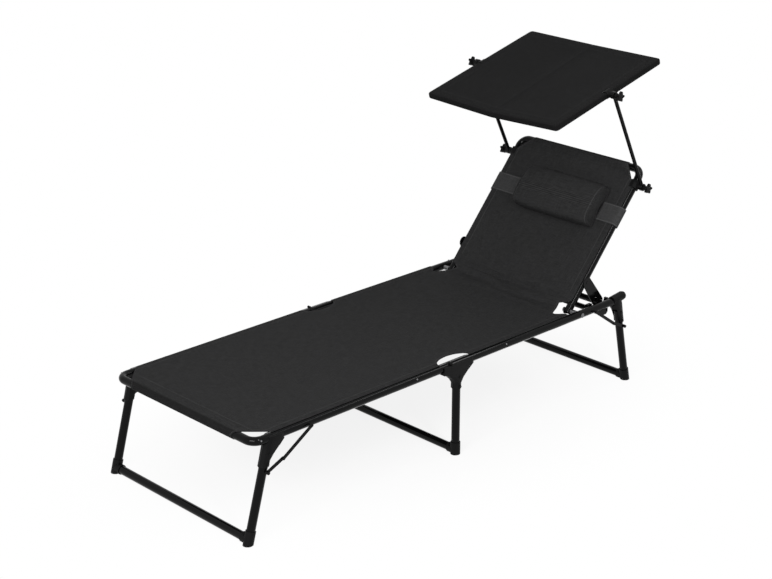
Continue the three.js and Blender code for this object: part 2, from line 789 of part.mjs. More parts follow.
function propPlate(side) {
  const shape = beltRound([
    [0, 0, propPivotRadius],
    [0, -propLength, propHeelRadius],
    [propToeOut, -propLength - propToeDrop, propHeelRadius],
  ]);
  const inner = tubeRadius + fitGap;
  const plate = sidePrism(shape, side, inner, inner + propPlateThickness);
  const hole = pin(side, holeRadius(propBarRadius, tubeSides), 0, overrun * 2, 0, -propLength, tubeSides);
  const head = inner + propPlateThickness;
  const rivet = turned(side, [
    [0, -tubeRadius - fitGap - rivetHeight],
    [rivetRadius, -tubeRadius - fitGap - rivetHeight],
    [rivetRadius, -tubeRadius - fitGap],
    [propPinRadius, -tubeRadius - fitGap],
    [propPinRadius, head],
    [rivetRadius, head],
    [rivetRadius, head + rivetHeight],
    [0, head + rivetHeight],
  ]);
  return join(cut(plate, hole), rivet);
}

function addProp(lounger) {
  const [x, z] = backPoint(propPlace);
  const prop = addGroup(lounger, x, 0, z, -propLean);
  for (const [side, word] of sides) {
    addPiece(prop, "prop_plate_" + word, propPlate(side), blackPaint).position.y = side * backY;
  }
  const reach = backY + tubeRadius + fitGap + propPlateThickness + propBarOverhang;
  const path = new BentPath([[0, -reach, 0], [0, reach, 0]]);
  const propBar = tube(path, propBarRadius, propBarRadius - frameTubeWall);
  addPiece(prop, "prop_bar", propBar, blackPaint).position.z = -propLength;
}

// Ratchet plates on the insides of the rails

function ratchetPlate(side) {
  const shape = outline([
    [ratchetStart, ratchetMiddle + ratchetBevel],
    [ratchetStart + ratchetBevel, ratchetMiddle],
    [ratchetKneePlace, ratchetMiddle],
    [ratchetLobePlace - ratchetBevel, ratchetBottom + ratchetBevel],
    [ratchetLobePlace, ratchetBottom],
    [ratchetEnd - ratchetBevel, ratchetBottom],
    [ratchetEnd, ratchetBottom + ratchetBevel],
    [ratchetEnd, ratchetTop],
    [ratchetStart + ratchetBevel, ratchetTop],
    [ratchetStart, ratchetTop - ratchetBevel],
  ]);
  const outer = railY - tubeRadius - fitGap;
  const inner = outer - ratchetThickness - ratchetShelfDepth;
  const whole = sidePrism(shape, side, inner, outer);
  const shelfBottom = ratchetTop - ratchetShelfHeight;
  const low = ratchetBottom - overrun;
  const inside = inner - overrun;
  const web = outer - ratchetThickness;
  const hollow = sideBox(side, ratchetStart - overrun, ratchetEnd + overrun, inside, web, low, shelfBottom);
  const notches = [];
  for (let i = -notchesBeside; i <= notchesBeside; i += 1) {
    const x = notchPlace + i * notchPitch;
    const [left, right] = [x - notchRadius, x + notchRadius];
    notches.push(pin(side, notchRadius, inside, outer + overrun, x, notchHeight, tubeSides));
    notches.push(sideBox(side, left, right, inside, outer + overrun, notchHeight, ratchetTop + overrun));
  }
  return cut(whole, hollow, ...notches);
}

function addRatchets(lounger) {
  for (const [side, word] of sides) {
    addPiece(lounger, "ratchet_" + word, ratchetPlate(side), blackPaint);
  }
  const reach = railY - tubeRadius - ratchetThickness - fitGap * 2;
  const path = new BentPath([[tieTubePlace, -reach, 0], [tieTubePlace, reach, 0]]);
  const tie = tube(path, tieTubeRadius, tieTubeRadius - frameTubeWall);
  addPiece(lounger, "tie_tube", tie, blackPaint).position.z = tieTubeHeight;
}

// Canopy arms, clamps and knobs

function canopyArm() {
  const rod = tube(new BentPath([[0, 0, 0], [0, 0, armLength]]), armDiameter / 2);
  const half = armEyeWidth / 2;
  const eye = (z) => pin(1, armEyeRadius, -half, half, 0, z, tubeSides);
  const hole = (z) => pin(1, holeRadius(studRadius, pinSides), -overrun, overrun, 0, z);
  return cut(join(rod, eye(0), eye(armLength)), hole(0), hole(armLength));
}

// A clip round a side tube with a boss out to an arm's eye.
function clamp(side, tubeR, tubeY, room) {
  const half = clampLength / 2;
  const collar = bar(tubeR + clampWall, -half, half);
  const bossEnd = armY - armEyeWidth / 2 - fitGap - tubeY;
  const boss = pin(side, clampBossRadius, tubeR, bossEnd, 0, 0, tubeSides);
  const bore = bar(holeRadius(tubeR, tubeSides), -overrun, overrun);
  const stud = pin(side, holeRadius(studRadius, pinSides), bossEnd - clampStudDepth, bossEnd + overrun);
  return cut(join(collar, boss), bore, stud, ...room);
}

// A star knob with its threaded stud, turning about Y.
function starKnob(side) {
  const points = [];
  const around = knobLobes * 6;
  for (let i = 0; i < around; i += 1) {
    const turn = (2 * Math.PI * i) / around;
    const radius = knobRadius - (knobLobeDepth * (1 - Math.cos(knobLobes * turn))) / 2;
    points.push([radius * Math.cos(turn), radius * Math.sin(turn)]);
  }
  const start = armEyeWidth / 2 + fitGap;
  const starStart = start + knobCollarWidth;
  const star = sidePrism(outline(points), side, starStart, starStart + knobWidth);
  const shank = turned(side, [
    [0, -armEyeWidth / 2 - clampStudDepth + fitGap * 2],
    [studRadius, -armEyeWidth / 2 - clampStudDepth + fitGap * 2],
    [studRadius, start],
    [knobCollarRadius, start],
    [knobCollarRadius * knobNeckShare, start + knobCollarWidth + fitGap],
    [0, start + knobCollarWidth + fitGap],
  ]);
  return join(star, shank);
}

const armPivot = backPoint(armPlace);
const canopyPivot = [
  armPivot[0] - armLength * Math.sin(armLean),
  armPivot[1] + armLength * Math.cos(armLean),
];

function addArms(lounger, back) {
  const arms = addGroup(lounger, armPivot[0], 0, armPivot[1], -armLean);
  const passage = clothPassage(backY, tubeRadius, -clampLength, clampLength);
  for (const [side, word] of sides) {
    addPiece(arms, "canopy_arm_" + word, canopyArm(), blackPaint).position.y = side * armY;
    const room = [passage.translate([0, -side * backY, 0])];
    const lower = clamp(side, tubeRadius, backY, room);
    addPiece(back, "arm_clamp_" + word, lower, blackPlastic).position.set(armPlace, side * backY, 0);
    const lowerKnob = addPiece(lounger, "arm_knob_" + word, starKnob(side), blackPlastic);
    lowerKnob.position.set(armPivot[0], side * armY, armPivot[1]);
    const upperKnob = addPiece(lounger, "canopy_knob_" + word, starKnob(side), blackPlastic);
    upperKnob.position.set(canopyPivot[0], side * armY, canopyPivot[1]);
  }
}

// Canopy, in a frame with its pivots at the origin and +X towards the head

const canopyHemRadius = canopyTubeRadius + fitGap + clothThickness;
const canopyX = canopyLength / 2 - canopyHemRadius;
const canopyY = armY - canopySideGap;
const canopyHalfWidth = canopyY + canopyHemRadius;

// One end of the canopy frame, from side to side through a shallow V.
function canopyHalfPath(toward, extra) {
  const sag = toward < 0 ? canopyFrontSag : canopyRearSag;
  return new BentPath([
    [-toward * extra, -canopyY, 0],
    [toward * canopyX, -canopyY, 0],
    [toward * canopyX, 0, -sag],
    [toward * canopyX, canopyY, 0],
    [-toward * extra, canopyY, 0],
  ], canopyBendRadius, bendSteps - 1);
}

function canopyLoop(radius, facets, extra = fitGap) {
  return join(...[-1, 1].map((toward) => tube(canopyHalfPath(toward, extra), radius, 0, facets)));
}

// One tube bent round the whole canopy, its two ends meeting in the middle of the rear bar.
function canopyFrame() {
  const path = new BentPath([
    [canopyX, -fitGap / 2, -canopyRearSag],
    [canopyX, -canopyY, 0],
    [-canopyX, -canopyY, 0],
    [-canopyX, 0, -canopyFrontSag],
    [-canopyX, canopyY, 0],
    [canopyX, canopyY, 0],
    [canopyX, fitGap / 2, -canopyRearSag],
  ], canopyBendRadius, bendSteps - 1);
  return tube(path, canopyTubeRadius, canopyTubeRadius - canopyTubeWall, canopyTubeSides);
}

// The sheet on top of the frame, falling to the sag along its middle.
function canopySheet() {
  const top = canopyHemRadius;
  const low = top - clothThickness;
  const reach = canopyX;
  const section = (x, sag) => [
    new THREE.Vector3(x, -canopyY, low),
    new THREE.Vector3(x, 0, low - sag),
    new THREE.Vector3(x, canopyY, low),
    new THREE.Vector3(x, canopyY, top),
    new THREE.Vector3(x, 0, top - sag),
    new THREE.Vector3(x, -canopyY, top),
  ];
  return loft([section(-reach, canopyFrontSag), section(reach, canopyRearSag)]);
}

function canopyCover() {
  const hem = canopyLoop(canopyHemRadius, tubeSides);
  const frameRoom = canopyLoop(holeRadius(canopyTubeRadius, canopyTubeSides), canopyTubeSides);
  const half = canopyClampWindow / 2;
  const windows = sides.map(([side]) =>
    sideBox(side, -half, half, canopyY - canopyWindowDepth, canopyHalfWidth * 2, -overrun, overrun),
  );
  return cut(join(hem, canopySheet()), frameRoom, ...windows);
}

function addCanopy(lounger) {
  const canopy = addGroup(lounger, canopyPivot[0], 0, canopyPivot[1], -canopyTilt);
  addPiece(canopy, "canopy_frame", canopyFrame(), blackPaint);
  addPiece(canopy, "canopy_cover", canopyCover(), canopyWeave);
  for (const [side, word] of sides) {
    const upper = clamp(side, canopyTubeRadius, canopyY, []);
    addPiece(canopy, "canopy_clamp_" + word, upper, blackPlastic).position.y = side * canopyY;
  }
}

// Fabric

// The section of a sheet that lies over two tubes and curls down their outsides.
function clothSection(tubeY, radius, grow = 0) {
  const curlSteps = 4;
  const inner = radius + fitGap - grow;
  const outer = radius + fitGap + clothThickness + grow;
  const curl = (r, side, i) => {
    const turn = (clothWrap * i) / curlSteps + (i === curlSteps ? grow / radius : 0);
    return [side * (tubeY + r * Math.sin(turn)), r * Math.cos(turn)];
  };
  const steps = Array.from({ length: curlSteps + 1 }, (_, i) => i);
  const down = steps.toReversed();
  return [
    ...down.map((i) => curl(outer, 1, i)),
    ...steps.map((i) => curl(outer, -1, i)),
    ...down.map((i) => curl(inner, -1, i)),
    ...steps.map((i) => curl(inner, 1, i)),
  ];
}

function clothSheet(tubeY, radius, low, high, grow = 0) {
  const section = clothSection(tubeY, radius, grow);
  const shape = outline(section);
  const geometry = new THREE.ExtrudeGeometry(shape, { depth: high - low, bevelEnabled: false });
  const turn = new THREE.Matrix4().makeBasis(
    new THREE.Vector3(0, 1, 0),
    new THREE.Vector3(0, 0, 1),
    new THREE.Vector3(1, 0, 0),
  );
  geometry.applyMatrix4(turn).translate(low, 0, 0);
  return solidOf(geometry);
}

function clothPassage(tubeY, radius, low, high) {
  return clothSheet(tubeY, radius, low, high, fitGap);
}

// A sleeve along Y round a cross tube, joined to the sheet above it.
function sleeve(x, half, radius) {
  const outer = radius + fitGap + clothThickness;
  const path = new BentPath([[x, -half, 0], [x, half, 0]]);
  const body = tube(path, outer, 0, tubeSides * 2);
  const through = new BentPath([[x, -railSpacing, 0], [x, railSpacing, 0]]);
  const room = tube(through, holeRadius(radius, tubeSides));
  return { body, room };
}

function mirrored(points) {
  return sides.map(([side]) => {
    const shape = outline(points.map(([x, y]) => [x, side * y]));
    return slab(shape, -overrun, overrun);
  });
}

function foldCuts() {
  const shape = new THREE.Shape();
  shape.absellipse(foldCutPlace, 0, foldCutHalfLength, foldCutDepth, 0, Math.PI * 2, false, 0);
  const points = shape.getPoints(bendSteps * 2).slice(0, -1);
  return sides.map(([side]) => {
    const round = new THREE.Shape(points.map((p) => new THREE.Vector2(p.x, p.y + side * railY)));
    return slab(round, -overrun, overrun);
  });
}

function seatClothFront() {
  const sheet = clothSheet(railY, tubeRadius, -footReach, foldPlace - seatClothFoldGap);
  const far = railY + overrun;
  const corners = mirrored([
    [-footReach - overrun * 2, far],
    [-footReach - overrun * 2, footSleeveHalf],
    [-footCornerOut, footSleeveHalf],
    [-footCornerStart, railY + tubeRadius * Math.sin(clothWrap)],
    [-footCornerStart, far],
  ]);
  const { body, room } = sleeve(-footReach, footSleeveHalf, tubeRadius);
  return cut(join(cut(sheet, ...corners, ...foldCuts()), body), room);
}

function seatClothRear() {
  const sheet = clothSheet(railY, tubeRadius, foldPlace + seatClothFoldGap, seatClothHeadPlace);
  const far = railY + overrun;
  const narrow = mirrored([
    [seatCutPlace, far],
    [seatCutPlace, railY - tubeRadius],
    [seatCutPlace - seatCutInset, seatCutShoulder],
    [seatClothHeadPlace, seatCutHalfWidth],
    [seatClothHeadPlace + overrun, seatCutHalfWidth],
    [seatClothHeadPlace + overrun, far],
  ]);
  return cut(sheet, ...narrow, ...foldCuts());
}

function backCloth() {
  const sheet = clothSheet(backY, tubeRadius, backClothStart, backLength);
  const far = backY + overrun;
  const narrow = mirrored([
    [backClothStart - overrun, far],
    [backClothStart - overrun, backCutHalfWidth],
    [backCutLow, backCutHalfWidth],
    [backCutHigh, backY + tubeRadius],
    [backCutHigh, far],
  ]);
  const corners = mirrored([
    [backLength + overrun, far],
    [backLength + overrun, backSleeveHalf],
    [backLength + tubeRadius, backSleeveHalf],
    [backLength - backCornerDrop, backY + tubeRadius],
    [backLength - backCornerDrop, far],
  ]);
  const { body, room } = sleeve(backLength, backSleeveHalf, tubeRadius);
  return cut(join(cut(sheet, ...narrow, ...corners), body), room);
}

// The pillow: a half-round bolster with a flat back and drawn-in ends.
function pillow() {
  const around = 20;
  const endShares = [-1, -0.985, -0.93, -0.78, -0.5, 0, 0.5, 0.78, 0.93, 0.985, 1];
  const swellShares = [0.9, 0.95, 0.975, 0.99, 1, 1, 1, 0.99, 0.975, 0.95, 0.9];
  const rings = endShares.map((share, level) => {
    const swell = swellShares[level];
    const ring = [];
    for (let i = 0; i < around; i += 1) {
      const turn = (2 * Math.PI * i) / around;
      const across = Math.cos(turn);
      const rise = Math.sin(turn);
      const spread = Math.sign(across) * Math.abs(across) ** pillowCrownPower;
      const wide = (pillowDepth / 2) * swell * spread;
      const low = pillowHeight * pillowBaseShare;
      const high = (pillowHeight - low) * swell * Math.max(rise, 0) ** pillowCrownPower;
      const deep = low * Math.max(-rise, 0) ** pillowBasePower;
      ring.push(new THREE.Vector3(wide, (pillowLength / 2) * share, low + high - deep));
    }
    return ring.reverse();
  });
  return loft(rings);
}

const strapInner = tubeRadius + fitGap * 2 + clothThickness;
const strapOuter = strapInner + strapThickness;

function roundedBelt(radius) {
  const shape = new THREE.Shape();
  shape.absarc(backY, 0, radius, -Math.PI / 2, Math.PI / 2, false);
  shape.absarc(-backY, 0, radius, Math.PI / 2, (Math.PI * 3) / 2, false);
  return shape;
}

// The strap: a belt of webbing right round the backrest.
function strap() {
  const shape = roundedBelt(strapOuter);
  shape.holes.push(new THREE.Path(roundedBelt(strapInner).getPoints(bendSteps)));
  const geometry = new THREE.ExtrudeGeometry(shape, {
    depth: strapWidth,
    bevelEnabled: false,
    curveSegments: bendSteps,
  });
  const turn = new THREE.Matrix4().makeBasis(
    new THREE.Vector3(0, 1, 0),
    new THREE.Vector3(0, 0, 1),
    new THREE.Vector3(1, 0, 0),
  );
  geometry.applyMatrix4(turn).translate(-strapWidth / 2, 0, 0);
  return solidOf(geometry);
}

function addFabric(lounger, back) {
  addPiece(lounger, "seat_cloth_front", seatClothFront(), seatMesh).position.z = railHeight;
  addPiece(lounger, "seat_cloth_rear", seatClothRear(), seatMesh).position.z = railHeight;
  addPiece(back, "back_cloth", backCloth(), seatMesh);
  const cushion = addPiece(back, "head_pillow", pillow(), seatMesh);
  cushion.position.set(pillowPlace, pillowOffset, strapOuter + fitGap);
  addPiece(back, "pillow_strap", strap(), strapWeb).position.x = strapPlace;
}

const lounger = new THREE.Group();
addBedFrame(lounger);
addLeg(lounger, "front", frontLegPlace, frontLegSplay, -1);
addLeg(lounger, "middle", middleLegPlace, middleLegSplay, 1);
addLeg(lounger, "rear", rearLegPlace, rearLegSplay, 1);
const frontKnee = [frontKneePlace, frontKneeHeight];
const rearKnee = [rearKneePlace, rearKneeHeight];
addStay(lounger, "front", frontLegPlace, frontLegSplay, -1, frontKnee, frontStayRailPlace);
addStay(lounger, "rear", rearLegPlace, rearLegSplay, 1, rearKnee, rearStayRailPlace);
const back = addGroup(lounger, backPivotPlace, 0, railHeight, -backAngle);
addBackrest(lounger, back);
addProp(lounger);
addRatchets(lounger);
addArms(lounger, back);
addCanopy(lounger);
addFabric(lounger, back);

// The origin is on the floor below the middle of the whole lounger.
const bounds = new THREE.Box3().setFromObject(lounger, true);
lounger.position.x = -(bounds.min.x + bounds.max.x) / 2;

const part = new THREE.Group();
part.add(lounger);

export default part;
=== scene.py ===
import json
import math

import bmesh
import bpy
import numpy as np
from mathutils import Matrix, Vector, noise

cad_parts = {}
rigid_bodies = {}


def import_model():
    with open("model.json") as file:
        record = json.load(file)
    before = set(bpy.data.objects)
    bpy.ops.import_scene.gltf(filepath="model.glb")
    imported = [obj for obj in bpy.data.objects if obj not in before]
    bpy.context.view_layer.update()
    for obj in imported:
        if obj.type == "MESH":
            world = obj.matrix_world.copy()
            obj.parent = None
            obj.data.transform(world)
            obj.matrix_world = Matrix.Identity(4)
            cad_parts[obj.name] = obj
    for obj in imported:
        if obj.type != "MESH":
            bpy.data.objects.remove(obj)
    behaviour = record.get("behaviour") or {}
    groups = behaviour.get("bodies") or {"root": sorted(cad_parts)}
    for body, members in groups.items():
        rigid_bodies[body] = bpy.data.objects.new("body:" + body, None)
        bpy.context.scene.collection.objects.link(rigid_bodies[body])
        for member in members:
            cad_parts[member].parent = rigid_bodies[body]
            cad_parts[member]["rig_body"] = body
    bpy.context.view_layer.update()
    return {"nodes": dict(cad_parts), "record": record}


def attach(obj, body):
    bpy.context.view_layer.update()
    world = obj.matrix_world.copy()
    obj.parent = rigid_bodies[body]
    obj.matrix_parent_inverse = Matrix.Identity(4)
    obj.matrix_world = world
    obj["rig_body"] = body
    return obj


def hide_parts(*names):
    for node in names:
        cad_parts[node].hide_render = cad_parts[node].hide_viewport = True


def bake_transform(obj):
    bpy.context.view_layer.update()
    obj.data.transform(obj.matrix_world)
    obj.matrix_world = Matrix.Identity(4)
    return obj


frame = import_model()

# Sizes of the lounger in millimetres, with X measured from the middle legs
SHIFT = -59.426  # from there to the frame's origin
RAIL_Y = 300.0
RAIL_Z = 292.0
TUBE_RADIUS = 12.5
FOOT_REACH = 770.0  # to the foot tube's centre line
FOLD_PLACE = -35.0
LEG_PIVOT_Z = 252.0
LEG_REST_Z = 14.5  # centre line of a leg's lowest part
FRAME_BEND = 30.0  # radius of a frame tube's bends, at the centre line
LEG_BEND = 20.0
FOOT_ARM = 48.0  # length of the foot tube's arms
BACK_ARM = 33.0

GAP = 0.3
CLOTH = 1.2  # thickness of the mesh
CLOTH_RADIUS = TUBE_RADIUS + GAP + CLOTH / 2  # of its middle, where it lies round a tube
WRAP = math.radians(10)  # how far it reaches past the top of a rail
RAIL_EDGE = RAIL_Y + CLOTH_RADIUS * WRAP
SEAT_Z = RAIL_Z + CLOTH_RADIUS
HEM_IN = 20.0  # side tube's centre line to the edge of the doubled hem
HEM_LIFT = 0.5  # how much higher it lies than the single cloth
STITCH_IN = 2.0  # a hem's edge to its stitching
CUT_STITCH_IN = 6.0  # a cut edge to its stitching
NO_SEAM = 50.0  # a distance at which no stitching shows
SHEET_PARTING = 200.0  # where the front and rear sheets meet

# A sleeve holds the cloth at the foot tube and at the top of the backrest
SLEEVE_IN = 31.0  # end tube's centre line to the sleeve's seam
SLEEVE_DROP = 1.3  # how much lower the sleeve lies there than the sheet
SLEEVE_FLAP = 28.0  # cloth past the seam
FOOT_SLEEVE = 225.0  # half the sleeve's width on the foot tube
FOOT_CUT_START = -784.0  # where it widens from there at a slant
FOOT_CUT_END = -706.0  # where the sheet has its full width
BACK_SLEEVE = 196.0
BACK_CUT_LENGTH = 73.5
BACK_CUT_END = 525.5  # up the backrest, where its sleeve has its own width

# Cuts in the cloth: a slot over each middle leg and a notch at each backrest pivot
SLOT_MIDDLE = -10.0
SLOT_HALF = 62.0
SLOT_DEPTH = 35.0
NOTCH_START = 467.0
NOTCH_LENGTH = 74.0
NOTCH_Y = 259.0  # its inner edge at its start
NOTCH_DEPTH = 36.0
TONGUE_END = 496.0  # end of the strip of cloth left on the rail
TONGUE_SLANT = 28.5  # how much narrower it is there

# How dark a cloth is drawn, where a single layer is 0: a doubled hem by its own layers, the rest
# by painted shade
HEM_LAYERS = 0.3
# Painted shade on the flap that lies under a sleeve's seam
FLAP_PAINTED_SHADE = 2.0
# Painted shade where the cloth turns down round an end tube
ROUND_TUBE_PAINTED_SHADE = 3.0  # more than a hem's, where the cloth turns down round an end tube
CANOPY_LAYERS = 0.2

BACK_PIVOT = 550.2
BACK_ANGLE = math.radians(48.9)
BACK_LENGTH = 513.0  # from the pivots to the top tube's centre line
BACK_Y = 253.5
BACK_WRAP = math.radians(20)
BACK_EDGE = BACK_Y + CLOTH_RADIUS * BACK_WRAP
BACK_CURVE = 80.0  # radius of the cloth where the seat turns up into the backrest
UP = Vector((math.cos(BACK_ANGLE), 0, math.sin(BACK_ANGLE)))
OUT = Vector((-math.sin(BACK_ANGLE), 0, math.cos(BACK_ANGLE)))

ARM_PLACE = 458.0
ARM_LENGTH = 366.0
ARM_LEAN = math.radians(26.2)
CANOPY_TILT = math.radians(14.25)
CANOPY_X = 242.0  # half the canopy, to its tubes' centre lines
CANOPY_Y = 260.5
CANOPY_BEND = 12.0
CANOPY_TUBE = 8.0
WINDOW_X = 13.6  # half of the cover's opening at a clamp
WINDOW_Y = 249.9
CANOPY_SAG_FRONT = 11.0  # how far the middle of its front edge bends down
CANOPY_SAG_REAR = 2.0
CANOPY_HEM = 24.0  # tube's centre line to the hem's stitching
CANOPY_TUCK = 30.0  # tube's centre line to the hem's end underneath
CANOPY_BORDER = 60.0  # length of cloth from the tube's centre line round to there

PILLOW_PLACE = 344.0
PILLOW_OFFSET = -36.0
PILLOW_LENGTH = 312.0
PILLOW_DEPTH = 146.0
PILLOW_HEIGHT = 55.0
STRAP_PLACE = 339.0
STRAP_WIDTH = 64.0
STRAP_THICKNESS = 1.6


def at(x, y, z):
    """A place in the frame, in metres."""
    return Vector((x + SHIFT, y, z)) / 1000


def on_back(along, y, out):
    """A place on the backrest: up from its pivots, across, and out of its front."""
    return at(BACK_PIVOT, y, RAIL_Z) + (UP * along + OUT * out) / 1000


def clamp(share):
    return min(max(share, 0), 1)


def within(value, limit):
    return min(max(value, -limit), limit)


# Material tools


def add(tree, kind, inputs=None, **settings):
    made = tree.nodes.new(kind)
    for key, value in settings.items():
        setattr(made, key, value)
    for key, value in (inputs or {}).items():
        if isinstance(value, bpy.types.NodeSocket):
            tree.links.new(value, made.inputs[key])
        else:
            made.inputs[key].default_value = value
    return made


def calc(tree, operation, *values):
    return add(tree, "ShaderNodeMath", dict(enumerate(values)), operation=operation).outputs[0]


def scaled(tree, vector, by):
    inputs = {0: vector, 1: by}
    return add(tree, "ShaderNodeVectorMath", inputs, operation="MULTIPLY").outputs[0]


def blend_values(tree, share, low, high):
    """Between low and high, by a share from 0 to 1."""
    return add(tree, "ShaderNodeMix", {0: share, 2: low, 3: high}).outputs[0]


def spread(tree, value, low, high, to_low=0.0, to_high=1.0):
    inputs = {0: value, 1: low, 2: high, 3: to_low, 4: to_high}
    return add(tree, "ShaderNodeMapRange", inputs, interpolation_type="SMOOTHSTEP").outputs[0]


def colours(tree, share, dark, light):
    mixer = add(tree, "ShaderNodeMix", {0: share, 6: (*dark, 1), 7: (*light, 1)}, data_type="RGBA")
    return mixer.outputs[2]


def grain(tree, scale, detail, place=None):
    if place is None:
        place = add(tree, "ShaderNodeTexCoord").outputs["Object"]
    inputs = {"Vector": place, "Scale": scale, "Detail": detail, "Roughness": 0.5}
    return add(tree, "ShaderNodeTexNoise", inputs).outputs["Fac"]


def new_material(name, specular=0.5, metallic=0.0):
    made = bpy.data.materials.new(name)
    made.use_nodes = True
    shader = made.node_tree.nodes["Principled BSDF"]
    shader.inputs["Specular IOR Level"].default_value = specular
    shader.inputs["Metallic"].default_value = metallic
    return made, made.node_tree, shader


def finish_material(tree, shader, colour, roughness, height, strength, depth):
    tree.links.new(colour, shader.inputs["Base Color"])
    tree.links.new(roughness, shader.inputs["Roughness"])
    inputs = {"Height": height, "Strength": strength, "Distance": depth}
    bump = add(tree, "ShaderNodeBump", inputs)
    tree.links.new(bump.outputs[0], shader.inputs["Normal"])


def paint():
    made, tree, shader = new_material("satin_black_paint", specular=0.1)
    mottle = grain(tree, 9, 3)
    peel = grain(tree, 620, 2)
    speckle = grain(tree, 2600, 1)
    colour = colours(tree, mottle, (0.0016, 0.0016, 0.0017), (0.0032, 0.0032, 0.0034))
    height = calc(tree, "ADD", peel, calc(tree, "MULTIPLY", speckle, 0.35))
    gloss = spread(tree, mottle, 0.25, 0.75, 0.1, 0.15)
    finish_material(tree, shader, colour, gloss, height, 0.06, 0.0003)
    return made


def plastic():
    made, tree, shader = new_material("grained_black_plastic", specular=0.09)
    fine = grain(tree, 1500, 3)
    cloud = grain(tree, 16, 3)
    colour = colours(tree, cloud, (0.0024, 0.0024, 0.0025), (0.0044, 0.0044, 0.0045))
    gloss = spread(tree, cloud, 0.3, 0.7, 0.46, 0.58)
    finish_material(tree, shader, colour, gloss, fine, 0.2, 0.0004)
    return made


def zinc():
    made, tree, shader = new_material("zinc_plated_steel", metallic=1.0)
    cloud = grain(tree, 180, 3)
    fine = grain(tree, 2400, 2)
    colour = colours(tree, cloud, (0.12, 0.122, 0.126), (0.2, 0.2, 0.204))
    gloss = spread(tree, cloud, 0.3, 0.7, 0.26, 0.42)
    finish_material(tree, shader, colour, gloss, fine, 0.15, 0.0003)
    return made


STITCH_LENGTH = 0.0042  # a stitch and the gap after it, in metres
# The third place is a doubled hem's own darkness, and painted shade where cloth turns down round a
# tube or lies underneath
LAYERS_AND_SHADE_STEP = 0.21  # how much darker a cloth is where its layers are 1


def cloth(name, pitch, gap_colour, yarn_colour, specular, along_share=1.0):
    """A plain weave that follows the cloth's own places, with stitching beside its seams.

    The places are across and along the cloth, in metres, and how dark its layers and painted shade
    make it.
    The seams are the distances to two lines of stitching and the place along them.
    """
    made, tree, shader = new_material(name, specular=specular)
    places = add(tree, "ShaderNodeAttribute", attribute_name="weave").outputs["Vector"]
    steps = scaled(tree, places, (1 / pitch, along_share / pitch, 1))
    cells = add(tree, "ShaderNodeSeparateXYZ", {0: steps})
    arches = []
    for axis in (0, 1):
        share = calc(tree, "FRACT", cells.outputs[axis])
        arches.append(calc(tree, "SINE", calc(tree, "MULTIPLY", share, math.pi)))
    turns = [calc(tree, "FLOOR", cells.outputs[axis]) for axis in (0, 1)]
    over = calc(tree, "PINGPONG", calc(tree, "ADD", *turns), 1.0)
    eased = [calc(tree, "MULTIPLY_ADD", arch, 0.45, 0.55) for arch in arches]
    warp = calc(tree, "MULTIPLY", arches[0], eased[1])
    weft = calc(tree, "MULTIPLY", arches[1], eased[0])
    yarn = blend_values(tree, over, warp, weft)

    seams = add(tree, "ShaderNodeAttribute", attribute_name="seams").outputs["Vector"]
    seams = add(tree, "ShaderNodeSeparateXYZ", {0: seams})
    stitches = calc(tree, "FRACT", calc(tree, "DIVIDE", seams.outputs[2], STITCH_LENGTH))
    dash = calc(tree, "LESS_THAN", stitches, 0.72)
    lines = []
    for axis in (0, 1):
        away = calc(tree, "ABSOLUTE", seams.outputs[axis])
        lines.append(calc(tree, "MULTIPLY", spread(tree, away, 0.0005, 0.001, 1.0, 0.0), dash))
    threads = calc(tree, "MAXIMUM", *lines)

    cloud = grain(tree, 5, 4)
    slubs = []
    for stretch in ((450, 34, 1), (34, 450, 1)):
        slubs.append(grain(tree, 1.0, 2, scaled(tree, places, stretch)))
    slub = spread(tree, calc(tree, "ADD", *slubs), 0.72, 1.28, 0.7, 1.2)
    # Darker by the third place: a doubled hem's own darkness, plus painted shade round tubes and
    # underneath
    layers_and_shade_amount = add(tree, "ShaderNodeSeparateXYZ", {0: places}).outputs[2]
    hem = calc(tree, "MULTIPLY_ADD", layers_and_shade_amount, -LAYERS_AND_SHADE_STEP, 1.0)
    patchy_layers_and_shade = calc(tree, "MULTIPLY", hem, spread(tree, cloud, 0.2, 0.8, 0.94, 1.06))
    shade = calc(tree, "MULTIPLY", calc(tree, "MULTIPLY", yarn, slub), patchy_layers_and_shade)
    woven = colours(tree, shade, gap_colour, yarn_colour)
    # Stitching is drawn lighter than the yarn: the thread's own colour, with a painted highlight
    # along the seams
    thread_and_highlight_colour = (*(1.35 * c for c in yarn_colour), 1)
    inputs = {0: threads, 6: woven, 7: thread_and_highlight_colour}
    colour = add(tree, "ShaderNodeMix", inputs, data_type="RGBA").outputs[2]
    height = calc(tree, "MAXIMUM", yarn, calc(tree, "MULTIPLY", threads, 1.6))
    rough = spread(tree, cloud, 0.2, 0.8, 0.76, 0.84)
    finish_material(tree, shader, colour, rough, height, 0.35, pitch * 0.3)
    return made


PAINT = paint()
PLASTIC = plastic()
ZINC = zinc()
SEAT_MESH = cloth(
    "seat_mesh_weave", 0.0016, (0.006, 0.006, 0.006), (0.0432, 0.0432, 0.0439), specular=0.035
)
CANOPY_WEAVE = cloth(
    "canopy_plain_weave", 0.0007, (0.004, 0.004, 0.004), (0.0173, 0.0173, 0.0177), specular=0.05
)
PILLOW_MESH = cloth(
    "pillow_mesh_weave", 0.0014, (0.006, 0.006, 0.006), (0.0465, 0.0465, 0.0472), specular=0.035
)
STRAP_WEB = cloth(
    "strap_webbing", 0.0019, (0.014, 0.014, 0.014), (0.067, 0.067, 0.068), specular=0.08,
    along_share=0.55,
)

LOOKS = {"frame_paint": PAINT, "black_plastic": PLASTIC, "zinc_steel": ZINC}
SLOT_OF = {part["node"]: part["material_slot"] for part in frame["record"]["subparts"]}


# Mesh tools


def new_piece(name, points, faces, material):
    mesh = bpy.data.meshes.new(name)
    mesh.from_pydata([tuple(p) for p in points], [], faces)
    piece = bpy.data.objects.new(name, mesh)
    bpy.context.scene.collection.objects.link(piece)
    mesh.materials.append(material)
    return piece


